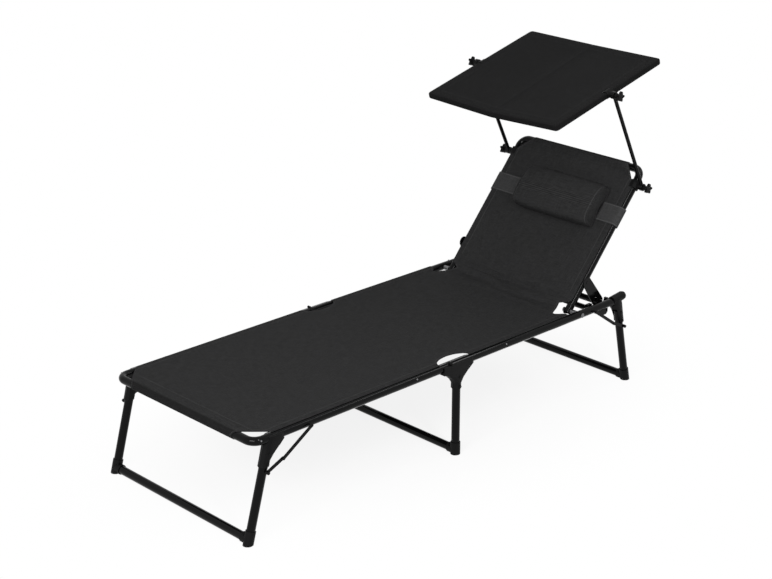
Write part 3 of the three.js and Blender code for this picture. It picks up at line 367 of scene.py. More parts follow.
def tidy_mesh(piece, crease=35):
    """Joins points that lie together, faces all outwards and smooths all but real edges."""
    merge = 1e-6
    work = bmesh.new()
    work.from_mesh(piece.data)
    bmesh.ops.remove_doubles(work, verts=work.verts, dist=merge)
    bmesh.ops.dissolve_degenerate(work, edges=work.edges, dist=merge)
    bmesh.ops.recalc_face_normals(work, faces=work.faces)
    work.to_mesh(piece.data)
    work.free()
    piece.data.shade_smooth()
    piece.data.set_sharp_from_angle(angle=math.radians(crease))


def apply_modifiers(piece):
    piece.data.update()
    bpy.context.view_layer.update()
    seen = bpy.context.evaluated_depsgraph_get()
    solid = piece.evaluated_get(seen)
    mesh = bpy.data.meshes.new_from_object(solid, preserve_all_data_layers=True, depsgraph=seen)
    piece.modifiers.clear()
    piece.data = mesh


def give_places(piece, places, seams):
    """Stores what the cloth material reads at each point."""
    for name, values in (("weave", places), ("seams", seams)):
        layer = piece.data.attributes.new(name, "FLOAT_VECTOR", "POINT")
        layer.data.foreach_set("vector", np.array(values, float).ravel())


def ring_faces(low, high, count):
    """Faces between two rings of points that start at low and at high."""
    ends = [(i, (i + 1) % count) for i in range(count)]
    return [(low + i, low + j, high + j, high + i) for i, j in ends]


def row_faces(low, high, count):
    """The same between two open rows of points."""
    return [(low + i, low + i + 1, high + i + 1, high + i) for i in range(count - 1)]


def thicken(piece, thickness):
    modifier = piece.modifiers.new("thickness", "SOLIDIFY")
    modifier.thickness = thickness
    modifier.offset = 0
    apply_modifiers(piece)
    piece.data.shade_smooth()
    piece.data.set_sharp_from_angle(angle=math.radians(40))


def bent_path(corners, bend):
    """The corners' line with each inner corner rounded."""
    steps = 10
    path = [corners[0]]
    for before, here, after in zip(corners, corners[1:], corners[2:]):
        back = (before - here).normalized()
        on = (after - here).normalized()
        half = back.angle(on) / 2
        centre = here + (back + on).normalized() * (bend / math.sin(half))
        arm = here + back * (bend / math.tan(half)) - centre
        axis = on.cross(back).normalized()
        sweep = math.pi - 2 * half
        for step in range(steps + 1):
            path.append(centre + Matrix.Rotation(sweep * step / steps, 3, axis) @ arm)
    path.append(corners[-1])
    return path


def tube_piece(name, corners, bend, radius, normal, node):
    """A bent tube of frame paint whose path lies in the plane with this normal."""
    sides = 32
    path = bent_path(corners, bend)
    points = []
    for i, here in enumerate(path):
        along = (path[min(i + 1, len(path) - 1)] - path[max(i - 1, 0)]).normalized()
        side = along.cross(normal)
        for step in range(sides):
            turn = 2 * math.pi * step / sides
            points.append(here + (normal * math.cos(turn) + side * math.sin(turn)) * radius)
    faces = []
    last = (len(path) - 1) * sides
    for row in range(0, last, sides):
        faces += ring_faces(row, row + sides, sides)
    faces += [tuple(reversed(range(sides))), tuple(range(last, last + sides))]
    piece = new_piece(name, points, faces, PAINT)
    tidy_mesh(piece)
    stands_for(piece, node)


def stands_for(piece, node):
    """Puts a rigid piece in the place of a node, on its body, and hides the node."""
    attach(piece, frame["nodes"][node]["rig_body"])
    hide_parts(node)


# Rigid pieces


def tubes():
    """The bent tubes, with rounder bends than the CAD has."""
    mm = 1 / 1000
    radius = TUBE_RADIUS * mm
    arm_end = -FOOT_REACH + FOOT_ARM
    bow = [at(arm_end, -RAIL_Y, RAIL_Z), at(-FOOT_REACH, -RAIL_Y, RAIL_Z)]
    bow += [at(-FOOT_REACH, RAIL_Y, RAIL_Z), at(arm_end, RAIL_Y, RAIL_Z)]
    tube_piece("foot_end_tube", bow, FRAME_BEND * mm, radius, Vector((0, 0, 1)), "foot_bow")
    arm_end = BACK_LENGTH - BACK_ARM
    top = [on_back(arm_end, -BACK_Y, 0), on_back(BACK_LENGTH, -BACK_Y, 0)]
    top += [on_back(BACK_LENGTH, BACK_Y, 0), on_back(arm_end, BACK_Y, 0)]
    tube_piece("top_tube", top, FRAME_BEND * mm, radius, OUT, "back_bow")
    for word, x, splay in (("front", -728, -15.8), ("middle", 0, 0), ("rear", 739, 12)):
        lean = math.radians(splay)
        down = Vector((math.sin(lean), 0, -math.cos(lean)))
        length = (LEG_PIVOT_Z - LEG_REST_Z) / math.cos(lean)
        past_pivot = 4
        pivots = [at(x, side * RAIL_Y, LEG_PIVOT_Z) for side in (-1, 1)]
        corners = [pivots[0] - down * past_pivot * mm, pivots[0] + down * length * mm]
        corners += [pivots[1] + down * length * mm, pivots[1] - down * past_pivot * mm]
        normal = down.cross(Vector((0, 1, 0)))
        tube_piece(word + "_leg_tube", corners, LEG_BEND * mm, radius, normal, word + "_leg")


def refined(node, bevel):
    """A node's own shape with its curved faces smoothed and its edges eased."""
    source = frame["nodes"][node]
    slot = SLOT_OF[node]
    piece = bpy.data.objects.new(node + "_smooth", source.data.copy())
    bpy.context.scene.collection.objects.link(piece)
    piece.data.materials.clear()
    piece.data.materials.append(LOOKS[slot])
    work = bmesh.new()
    work.from_mesh(piece.data)
    bmesh.ops.remove_doubles(work, verts=work.verts, dist=2e-6)
    bmesh.ops.dissolve_limit(work, angle_limit=math.radians(1), verts=work.verts, edges=work.edges)
    work.to_mesh(piece.data)
    work.free()
    piece.data.shade_smooth()
    if bevel:
        modifier = piece.modifiers.new("eased edges", "BEVEL")
        modifier.width = bevel
        modifier.segments = 2
        modifier.limit_method = "ANGLE"
        modifier.angle_limit = math.radians(40)
        # The large faces set the normals, so that a flat or a tube isn't shaded as bent.
        piece.modifiers.new("normals", "WEIGHTED_NORMAL")
        apply_modifiers(piece)
    else:
        piece.data.set_sharp_from_angle(angle=math.radians(38))
    stands_for(piece, node)


SWEPT = {"foot_bow", "back_bow", "front_leg", "middle_leg", "rear_leg", "canopy_frame"}
SOFT_SLOTS = {"seat_mesh", "canopy_weave", "pillow_mesh", "strap_web"}
EDGE_BEVEL = 0.0004  # in metres


def rigid_pieces():
    tubes()
    for node in sorted(SLOT_OF):
        if node in SWEPT or SLOT_OF[node] in SOFT_SLOTS:
            continue
        refined(node, 0.0 if "rail" in node else EDGE_BEVEL)
    # What isn't replaced shows the CAD shape in the same looks.
    for node in frame["nodes"].values():
        slot = SLOT_OF[node.name]
        if slot in LOOKS:
            node.data.materials.clear()
            node.data.materials.append(LOOKS[slot])


def rail_rivets():
    """Small domed rivets on the outside of each rail."""
    tilt = math.radians(22)
    head_radius, head_height, sunk = 2.8, 1.5, 0.3
    rings, around = 5, 16
    for x, body in ((-752, "foot_section"), (-172, "foot_section"), (203, "bed")):
        for side, word in ((-1, "left"), (1, "right")):
            outward = Vector((0, side * math.cos(tilt), math.sin(tilt)))
            seat = at(x, side * RAIL_Y, RAIL_Z) + outward * (TUBE_RADIUS - sunk) / 1000
            points, faces = [], []
            across = Vector((1, 0, 0))
            other = outward.cross(across)
            for ring in range(rings):
                lift = math.sin(math.pi / 2 * ring / rings)
                radius = head_radius * math.cos(math.pi / 2 * ring / rings)
                for i in range(around):
                    turn = 2 * math.pi * i / around
                    spoke = across * math.cos(turn) + other * math.sin(turn)
                    points.append(seat + (spoke * radius + outward * (head_height * lift)) / 1000)
            points.append(seat + outward * head_height / 1000)
            top = (rings - 1) * around
            for ring in range(0, top, around):
                faces += ring_faces(ring, ring + around, around)
            faces += [(top + i, top + (i + 1) % around, len(points) - 1) for i in range(around)]
            faces.append(tuple(reversed(range(around))))
            name = f"rail_rivet_{abs(x)}_{word}"
            rivet = new_piece(name, points, faces, ZINC)
            tidy_mesh(rivet)
            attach(rivet, body)


# Cloth that lies over the side tubes


class Station:
    """A line across a sheet: where it is, which way it faces and how wide it is."""

    def __init__(self, x, z, normal, length, high, tube_y, sag=0.0, edge=1.0, layers_and_shade=0.0):
        self.x, self.z, self.normal = x, z, normal
        self.length = length  # its place along the cloth
        self.low, self.high = 0.0, high  # where the cloth starts and ends, from the middle
        self.tube_y = tube_y  # centre line of the tube that it lies over
        self.sag = sag  # how far its middle hangs down
        self.edge = edge  # how much of the doubled hem it has, from 0 to 1
        # How dark its layers and painted shade make it from edge to edge
        self.layers_and_shade = layers_and_shade  # how dark its layers make it from edge to edge
        self.creased = 0.0  # how deep the soft folds are here
        self.sewn = None  # distance to a sleeve's seam

    def point(self, width, side):
        over = width - self.tube_y
        if over > 0:
            turn = over / CLOTH_RADIUS
            y = self.tube_y + CLOTH_RADIUS * math.sin(turn)
            out = -CLOTH_RADIUS * (1 - math.cos(turn))
        else:
            y = width
            share = width / self.tube_y
            out = -self.sag * (1 - share * share)
        if self.creased:
            across = width * side
            spot = Vector((self.length / 19 + across / 500, across / 260, 0.3))
            folds = 0.5 - 2.2 * abs(noise.noise(spot))
            out += self.creased * folds * min((self.high - width) / 60, 1)
        hem = clamp((over + HEM_IN + 1.5) / 3)
        out += HEM_LIFT * hem * hem * (3 - 2 * hem) * self.edge
        nx, nz = self.normal
        return at(self.x + nx * out, side * y, self.z + nz * out)


def sheet_grid(stations, columns):
    """Points, faces, places and seams of a strip between each station's low and high."""
    points, places, seams, faces = [], [], [], []
    for station in stations:
        for side, column in columns:
            width = min(max(column, station.low), station.high)
            points.append(station.point(width, side))
            in_hem = width > station.tube_y - HEM_IN - 0.6 and station.edge > 0
            layers_and_shade = station.layers_and_shade or HEM_LAYERS * in_hem
            places.append((side * width / 1000, station.length / 1000, layers_and_shade))
            cut = station.high - width if station.high < station.tube_y + 1 else NO_SEAM
            if station.low > 0:
                cut = width - station.low
            if station.sewn is not None:
                cut = station.sewn + CUT_STITCH_IN
            hem = width - (station.tube_y - HEM_IN) if station.edge else NO_SEAM
            lines = (hem - STITCH_IN) / 1000, (cut - CUT_STITCH_IN) / 1000
            seams.append((*lines, station.length / 1000))
    count = len(columns)
    for row in range(len(stations) - 1):
        faces += row_faces(row * count, (row + 1) * count, count)
    return points, faces, places, seams


def both_sides(columns):
    """The columns of one side, mirrored to make both, each with its side."""
    left = [(-1, c) for c in reversed(columns) if c > 0]
    return left + [(1, c) for c in columns]


def cloth_piece(name, grids, material=SEAT_MESH):
    """One cloth made of the grids, and the area of its middle before it is thickened."""
    points, faces, places, seams = [], [], [], []
    for grid in grids:
        start = len(points)
        points += grid[0]
        faces += [tuple(start + i for i in face) for face in grid[1]]
        places += grid[2]
        seams += grid[3]
    piece = new_piece(name, points, faces, material)
    give_places(piece, places, seams)
    work = bmesh.new()
    work.from_mesh(piece.data)
    bmesh.ops.remove_doubles(work, verts=work.verts, dist=2e-6)
    bmesh.ops.dissolve_degenerate(work, edges=work.edges, dist=2e-6)
    work.to_mesh(piece.data)
    work.free()
    area = sum(face.area for face in piece.data.polygons)
    thicken(piece, CLOTH / 1000)
    return piece, area


def sleeve_arc():
    """Angles round an end tube, from the seam side underneath to its top, as cloth lies."""
    steps = 18
    rise = CLOTH_RADIUS - SLEEVE_DROP
    reach = math.hypot(SLEEVE_IN, rise)
    lean = math.atan2(rise, SLEEVE_IN)
    start = lean - math.acos(CLOTH_RADIUS / reach)
    end = math.pi / 2 - 2 * math.pi
    return [start + (end - start) * i / steps for i in range(steps + 1)]


def round_tube_painted_shade(facing, light, dark):
    """A hem's layers plus painted shade round an end tube: darker the less the cloth faces as the
    tube's top does.
    """
    return HEM_LAYERS + ROUND_TUBE_PAINTED_SHADE * clamp((light - facing) / (light - dark))


def foot_width(x):
    """Half the cloth's width by the foot tube, where its corners are cut off at a slant."""
    cut = max(0, x - FOOT_CUT_START)
    return FOOT_SLEEVE + cut * (RAIL_EDGE - FOOT_SLEEVE) / (FOOT_CUT_END - FOOT_CUT_START)


def back_width(along):
    """The same by the top tube of the backrest."""
    cut = max(0, BACK_CUT_END - along)
    return BACK_SLEEVE + cut * (BACK_EDGE - BACK_SLEEVE) / BACK_CUT_LENGTH


def seat_edge(x):
    """Half the width of the front sheet's flat part, measured over the cloth."""
    if x < FOOT_CUT_END:
        return foot_width(x)
    share = (x - SLOT_MIDDLE) / SLOT_HALF
    if abs(share) <= 1:
        return RAIL_Y - SLOT_DEPTH * math.sqrt(1 - share * share)
    return RAIL_EDGE


# Half a sheet's columns, close together at the hem and where the cloth bends down
SEAT_COLUMNS = [
    *range(0, 241, 24), NOTCH_Y, 270, 276, 278.5, 280, 281.5, 284, 291, 297, RAIL_Y, RAIL_EDGE,
]
BACK_COLUMNS = [
    *range(0, 217, 24), 226, 231, 232.5, 234, 235.5, 238, 243, 248, BACK_Y, 256, BACK_EDGE,
]


def seat_sag(x):
    """How far the bed's cloth hangs down: least at the foot tube and over the fold."""
    share = clamp((x + FOOT_REACH) / 250)
    ease = 1 - math.exp(-((x - FOLD_PLACE) / 160) ** 2)
    return 3.0 * share * (0.35 + 0.65 * ease)


def front_sheet():
    """The cloth from its sleeve round the foot tube to where the rear sheet starts."""
    seam_x = -FOOT_REACH + SLEEVE_IN
    angles = sleeve_arc()
    lengths = [CLOTH_RADIUS * (a - angles[-1]) for a in angles]
    flap_end = -FOOT_REACH - lengths[0] - SLEEVE_FLAP
    stations = [Station(
        seam_x, SEAT_Z - SLEEVE_DROP, (0, -1), flap_end, FOOT_SLEEVE, RAIL_Y,
        edge=0, layers_and_shade=FLAP_PAINTED_SHADE,
    )]
    for angle, length in zip(angles, lengths):
        face = (math.cos(angle), math.sin(angle))
        x = -FOOT_REACH + CLOTH_RADIUS * face[0]
        z = RAIL_Z + CLOTH_RADIUS * face[1]
        on_top = face[1] > 0 and angle < -math.pi
        stations.append(Station(
            x, z, face, -FOOT_REACH - length, foot_width(x) if on_top else FOOT_SLEEVE, RAIL_Y,
            edge=0, layers_and_shade=round_tube_painted_shade(face[1], light=0.997, dark=0.93),
        ))
    rows = {*range(-760, int(SHEET_PARTING) + 1, 20), FOOT_CUT_END, -690, SHEET_PARTING}
    rows |= {SLOT_MIDDLE - SLOT_HALF * math.cos(math.radians(a)) for a in range(0, 181, 10)}
    # The cloth has its full width again just past the ends of the slots.
    slot_ends = [(SLOT_MIDDLE + way * (SLOT_HALF + 0.3), RAIL_EDGE) for way in (-1, 1)]
    for x, high in sorted([(x, seat_edge(x)) for x in rows] + slot_ends):
        station = Station(
            x, SEAT_Z, (0, 1), x, high, RAIL_Y,
            sag=seat_sag(x), edge=clamp((x + 755) / 20), layers_and_shade=HEM_LAYERS * (x < seam_x),
        )
        if x < FOOT_CUT_END:
            station.sewn = x - seam_x
        stations.append(station)
    grid = sheet_grid(stations, both_sides(SEAT_COLUMNS))
    piece, area = cloth_piece("seat_cloth_foot_half", [grid])
    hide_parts("seat_cloth_front")
    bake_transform(piece)
    length = SHEET_PARTING + FOOT_REACH + 90


def rear_sheet():
    """The cloth from there along the bed and up the backrest, round its top tube."""
    tangent = BACK_CURVE * math.tan(BACK_ANGLE / 2)
    base = Vector((BACK_PIVOT, 0, RAIL_Z)) + OUT * CLOTH_RADIUS
    crease = (SEAT_Z - base.z) / UP.z
    corner_x = base.x + UP.x * crease
    curve_start = corner_x - tangent
    curve_end = crease + tangent
    arc = BACK_CURVE * BACK_ANGLE

    def seat_rows(on_rail):
        """The bed's stations, with the tongue on the rail or else what lies inside the notch."""
        rows = [*range(int(SHEET_PARTING), 421, 20), *range(430, 462, 8)]
        made = []
        for x in [*rows, NOTCH_START, 474, 482, 490, TONGUE_END]:
            sag = seat_sag(x) * clamp((curve_start - x) / 120)
            station = Station(x, SEAT_Z, (0, 1), x, RAIL_EDGE, RAIL_Y, sag=sag)
            past = x - NOTCH_START
            if past > 0 and on_rail:
                station.low = NOTCH_Y + past * TONGUE_SLANT / (TONGUE_END - NOTCH_START)
            elif past > 0:
                station.high = NOTCH_Y - past * NOTCH_DEPTH / NOTCH_LENGTH
                station.edge = 0
            made.append(station)
        return made

    stations = seat_rows(False)
    steps = 12
    for step in range(steps + 1):
        turn = BACK_ANGLE * step / steps
        x = curve_start + BACK_CURVE * math.sin(turn)
        z = SEAT_Z + BACK_CURVE * (1 - math.cos(turn))
        length = curve_start + BACK_CURVE * turn
        along = (Vector((x, 0, z)) - base).dot(UP)
        narrow = NOTCH_Y - NOTCH_DEPTH
        high = NOTCH_Y - NOTCH_DEPTH * clamp((x - NOTCH_START) / NOTCH_LENGTH)
        # Past its narrowest place the cloth widens a little, then to the backrest's full width.
        if x > NOTCH_START + NOTCH_LENGTH:
            high = narrow + 13 * min((along - 2) / 16, 1)
        if along > 18:
            high = min(narrow + 13 + (along - 18) * 30 / 12, BACK_EDGE)
        tube_y = RAIL_Y if step < 4 else BACK_Y
        normal = (-math.sin(turn), math.cos(turn))
        stations.append(Station(x, z, normal, length, high, tube_y, edge=0))
    offset = curve_start + arc - curve_end
    alongs = [*range(50, 150, 8), *range(150, 441, 20), *range(452, 503, 10), BACK_LENGTH]
    for along in alongs:
        middle = base + UP * along
        high = min(BACK_EDGE, back_width(along))
        sag = 2.5 * min((along - 45) / 120, (BACK_LENGTH - along) / 90, 1)
        stations.append(Station(
            middle.x, middle.z, (OUT.x, OUT.z), offset + along, high, BACK_Y,
            sag=max(sag, 0),
            edge=clamp((along - 50) / 20) * clamp((BACK_LENGTH - 12 - along) / 20),
            layers_and_shade=HEM_LAYERS * (along > BACK_LENGTH - SLEEVE_IN),
        ))
    angles = sleeve_arc()
    centre = Vector((BACK_PIVOT, 0, RAIL_Z)) + UP * BACK_LENGTH
    for angle in reversed(angles[:-1]):
        # The angle counts from the way back down the backrest, towards its front.
        face = -UP * math.cos(angle) + OUT * math.sin(angle)
        middle = centre + face * CLOTH_RADIUS
        length = offset + BACK_LENGTH + CLOTH_RADIUS * (angle - angles[-1])
        on_top = face.dot(OUT) > 0 and angle < -math.pi
        high = back_width((middle - base).dot(UP)) if on_top else BACK_SLEEVE
        stations.append(Station(
            middle.x, middle.z, (face.x, face.z), length, high, BACK_Y,
            edge=0, layers_and_shade=round_tube_painted_shade(face.dot(OUT), light=0.95, dark=0.85),
        ))
    seam = centre - UP * SLEEVE_IN + OUT * (CLOTH_RADIUS - SLEEVE_DROP)
    flap_end = length + SLEEVE_FLAP
    stations.append(Station(
        seam.x, seam.z, (-OUT.x, -OUT.z), flap_end, BACK_SLEEVE, BACK_Y,
        edge=0, layers_and_shade=FLAP_PAINTED_SHADE,
    ))

    # Soft folds where the bed turns up into the backrest, but not at the seam with the front
    crease_length = curve_start + arc / 2
    for station in stations:
        if station.length > SHEET_PARTING:
            station.creased = 8.0 * math.exp(-((station.length - crease_length) / 58) ** 2)

    split = next(i for i, s in enumerate(stations) if s.tube_y == BACK_Y)
    low_part = sheet_grid(stations[: split + 1], both_sides(SEAT_COLUMNS))
    high_part = sheet_grid(stations[split:], both_sides(BACK_COLUMNS))
    tongue_rows = [s for s in seat_rows(True) if s.x >= NOTCH_START]
    tongues = []
    for side in (-1, 1):
        columns = [(side, c) for c in SEAT_COLUMNS if c >= NOTCH_Y]
        tongues.append(sheet_grid(tongue_rows, columns if side > 0 else columns[::-1]))
    piece, area = cloth_piece("back_cloth_whole", [low_part, high_part, *tongues])
    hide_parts("seat_cloth_rear", "back_cloth")
    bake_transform(piece)


# Canopy cover


def canopy_point(x, y, z):
    """A place in the canopy, from the middle between its pivots."""
    arm = on_back(ARM_PLACE, 0, 0)
    pivot = arm + Vector((-math.sin(ARM_LEAN), 0, math.cos(ARM_LEAN))) * ARM_LENGTH / 1000
    c, s = math.cos(CANOPY_TILT), math.sin(CANOPY_TILT)
    return pivot + Vector((x * c - z * s, y, x * s + z * c)) / 1000


def canopy_sag(x, y):
    """How far the frame and the cover hang down here."""
    share = (x + CANOPY_X) / (2 * CANOPY_X)
    depth = CANOPY_SAG_FRONT + (CANOPY_SAG_REAR - CANOPY_SAG_FRONT) * share
    return depth * (1 - abs(y) / CANOPY_Y)


def canopy_cover():
    """The cover: its top, then rings of cloth round the frame to the hem's end underneath."""
    radius = CANOPY_TUBE + GAP + CLOTH / 2
    no_seam = 40
    edge_steps = [0, 3, 6, 8.5, 12, 16, 21, 24, 27, 32]

    def lines(reach, extra):
        outer = [reach - step for step in edge_steps]
        inner = np.linspace(0, outer[-1] - 18, 9)
        values = sorted({*outer, *(round(float(v), 3) for v in inner), *extra})
        return [-v for v in reversed(values) if v > 0] + values

    xs = lines(CANOPY_X, [WINDOW_X])
    ys = lines(CANOPY_Y, [1.5, 4.0, WINDOW_Y])
    points, places, seams, faces = [], [], [], []

    def add_point(x, y, z, place, seam, layers_and_shade):
        points.append(canopy_point(x, y, z))
        places.append((place[0] / 1000, place[1] / 1000, layers_and_shade))
        seams.append((seam / 1000, NO_SEAM / 1000, (place[0] + place[1]) / 1000))
        return len(points) - 1

    def squared(c, s, power):
        """How much farther a squared-off ring reaches than a circle, in the direction c, s."""
        return (abs(c) ** power + abs(s) ** power) ** (-1 / power)

    def rounded(x, y):
        """A place on the straight grid, moved so that the cover's corners are round."""
        cx, cy = CANOPY_X - CANOPY_BEND, CANOPY_Y - CANOPY_BEND
        dx, dy = abs(x) - cx, abs(y) - cy
        if dx <= 0 or dy <= 0:
            return x, y
        reach = max(dx, dy)
        long = math.hypot(dx, dy)
        stretch = squared(dx / long, dy / long, 5) * reach / long
        return math.copysign(cx + dx * stretch, x), math.copysign(cy + dy * stretch, y)

    def top_height(x, y):
        inside = min(CANOPY_X - abs(x), CANOPY_Y - abs(y))
        hollow = 2.6 * min(inside / 90, 1) * (0.35 + 0.65 * min(abs(y) / 60, 1))
        ridge = 0.7 * max(0, 1 - abs(y) / 4) * min(inside / 30, 1)
        hem = clamp((28 - inside) / 3)
        return radius - canopy_sag(x, y) - hollow + ridge + HEM_LIFT * hem

    grid = {}
    for i, x in enumerate(xs):
        for j, y in enumerate(ys):
            px, py = rounded(x, y)
            inside = min(CANOPY_X - abs(x), CANOPY_Y - abs(y))
            layers_and_shade = CANOPY_LAYERS * (inside < CANOPY_HEM)
            seam = inside - CANOPY_HEM
            grid[i, j] = add_point(px, py, top_height(x, y), (px, py), seam, layers_and_shade)
    for i in range(len(xs) - 1):
        for j in range(len(ys) - 1):
            middle_x, middle_y = (xs[i] + xs[i + 1]) / 2, (ys[j] + ys[j + 1]) / 2
            if abs(middle_x) < WINDOW_X and abs(middle_y) > WINDOW_Y:
                continue
            faces.append((grid[i, j], grid[i + 1, j], grid[i + 1, j + 1], grid[i, j + 1]))

    last_x, last_y = len(xs) - 1, len(ys) - 1
    border = [(i, 0) for i in range(last_x)] + [(last_x, j) for j in range(last_y)]
    border += [(i, last_y) for i in range(last_x, 0, -1)] + [(0, j) for j in range(last_y, 0, -1)]
    rims = []
    for i, j in border:
        px, py = rounded(xs[i], ys[j])
        cx, cy = within(px, CANOPY_X - CANOPY_BEND), within(py, CANOPY_Y - CANOPY_BEND)
        way = Vector((px - cx, py - cy)).normalized()
        rims.append((px, py, way * squared(way.x, way.y, 5), canopy_sag(xs[i], ys[j])))

    rings = [[grid[key] for key in border]]
    for angle in (75, 62, 53, 45, 37, 28, 15, 0, -15, -28, -37, -45, -53, -62, -75, -90, -108):
        turn = math.radians(angle)
        reach = radius * squared(math.cos(turn), math.sin(turn), 6)
        out = reach * math.cos(turn)
        length = radius * (math.pi / 2 - turn)
        # Painted shade: past the top, the cloth darkens as it turns down round the tube's side and
        # underneath
        layers_and_shade = CANOPY_LAYERS + 2.3 * clamp((math.radians(56) - turn) / 0.2)
        ring = []
        for px, py, way, sag in rims:
            height = -sag + reach * math.sin(turn)
            place = (px + way.x * length, py + way.y * length)
            x, y = px + way.x * out, py + way.y * out
            ring.append(add_point(x, y, height, place, no_seam, layers_and_shade))
        rings.append(ring)
    # The hem's end underneath, darker than the top's hem by painted shade
    ring = []
    for px, py, way, sag in rims:
        x, y = within(px, CANOPY_X - CANOPY_TUCK), within(py, CANOPY_Y - CANOPY_TUCK)
        place = (x + way.x * CANOPY_BORDER, y + way.y * CANOPY_BORDER)
        ring.append(add_point(x, y, top_height(x, y) - 1.5, place, no_seam, 1.0))
    rings.append(ring)
    for low, high in zip(rings, rings[1:]):
        for k in range(len(border)):
            n = (k + 1) % len(border)
            (i, j), (p, q) = border[k], border[n]
            middle_x = (xs[i] + xs[p]) / 2
            if abs(middle_x) < WINDOW_X and j == q and j in (0, last_y):
                continue
            faces.append((low[n], low[k], high[k], high[n]))
    piece, area = cloth_piece("canopy_cloth", [(points, faces, places, seams)], CANOPY_WEAVE)
    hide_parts("canopy_cover")
    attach(piece, "canopy")


# Head pillow and its strap


def pillow():
    """The padded cover with its domed ends, and the piping round them."""
    around, length_steps = 56, 48
    half = PILLOW_LENGTH / 2
    lift = TUBE_RADIUS + 2 * GAP + CLOTH + STRAP_THICKNESS + GAP
    middle = PILLOW_HEIGHT * 0.36  # height of the ends' centres
    piping_radius = 0.0017  # in metres
    no_seam = NO_SEAM / 1000
    points, places, seams, faces = [], [], [], []
    levels = [math.sin(math.pi / 2 * (2 * i / length_steps - 1)) for i in range(length_steps + 1)]

    def section(turn, swell):
        """A place on the pillow's outline: up the backrest from its middle, and out of it."""
        across, rise = math.cos(turn), math.sin(turn)
        square = 0.52 if across < 0 else 0.75
        wide = PILLOW_DEPTH / 2 * swell * math.copysign(abs(across) ** square, across)
        low = PILLOW_HEIGHT * 0.16
        high = (PILLOW_HEIGHT - low) * swell * max(rise, 0) ** square
        deep = low * max(-rise, 0) ** 0.5
        return wide, low + high - deep

    for level in levels:
        swell = 0.985 + 0.015 * math.cos(level * math.pi / 2) - 0.085 * abs(level) ** 14
        for i in range(around):
            turn = 2 * math.pi * i / around
            wide, out = section(turn, swell)
            front = max(math.sin(turn), 0)
            end = max(0, abs(level) - 0.8) / 0.2
            pucker = 0.9 * end * end * math.sin(turn * 17 + 2 * level) * front
            soft = 1.6 * noise.noise(Vector((wide / 45, level * 3.1, out / 45))) * front
            out += pucker + soft
            y = PILLOW_OFFSET + half * level
            points.append(on_back(PILLOW_PLACE + wide, y, lift + max(out, 0)))
            places.append((half * level / 1000, PILLOW_DEPTH * turn / 4 / 1000, 0))
            stitching = half * (1 - abs(level)) - 6
            seams.append((stitching / 1000, no_seam, turn * 0.05))
    for row in range(length_steps):
        faces += ring_faces(row * around, (row + 1) * around, around)
    for row, direction in ((0, -1), (length_steps, 1)):
        previous = row * around
        for share in (0.82, 0.55, 0.25):
            start = len(points)
            bulge = 5.0 * (1 - share ** 2)
            for i in range(around):
                turn = 2 * math.pi * i / around
                wide, out = section(turn, 0.9)
                y = PILLOW_OFFSET + direction * (half + bulge - 1.0)
                height = lift + middle + (out - middle) * share
                points.append(on_back(PILLOW_PLACE + wide * share, y, height))
                places.append((wide * share / 1000, out * share / 1000, 0))
                seams.append((no_seam, no_seam, 0))
            quads = ring_faces(previous, start, around)
            faces += quads if direction > 0 else [quad[::-1] for quad in quads]
            previous = start
        cap = tuple(range(previous, previous + around))
        faces.append(cap if direction > 0 else cap[::-1])
    piece = new_piece("pillow_cover", points, faces, PILLOW_MESH)
    give_places(piece, places, seams)
    tidy_mesh(piece, crease=60)
    smooth = piece.modifiers.new("smooth", "SUBSURF")
    smooth.levels = smooth.render_levels = 1
    apply_modifiers(piece)
    piece.data.shade_smooth()
    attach(piece, "pillow")
    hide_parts("head_pillow")

    # Piping round both ends
    for direction, word in ((-1, "left"), (1, "right")):
        rope_points, rope_faces, rope_places = [], [], []
        small, rows = 10, around * 2
        for i in range(rows):
            turn = math.pi * i / around
            wide, out = section(turn, 0.915)
            y = PILLOW_OFFSET + direction * (half - 0.5)
            centre = on_back(PILLOW_PLACE + wide, y, lift + max(out, 1.6))
            inward = on_back(PILLOW_PLACE, y, lift + middle) - centre
            spoke = inward.normalized()
            for k in range(small):
                bend = 2 * math.pi * k / small
                push = spoke * math.cos(bend) + Vector((0, 1, 0)) * math.sin(bend)
                rope_points.append(centre + push * piping_radius)
                rope_places.append((k / small * 0.012, turn * 0.05, 0))
            rope_faces += ring_faces(i * small, (i + 1) % rows * small, small)
        rope = new_piece(f"pillow_piping_{word}", rope_points, rope_faces, PILLOW_MESH)
        give_places(rope, rope_places, [(no_seam, no_seam, 0)] * len(rope_points))
        tidy_mesh(rope, crease=80)
        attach(rope, "pillow")


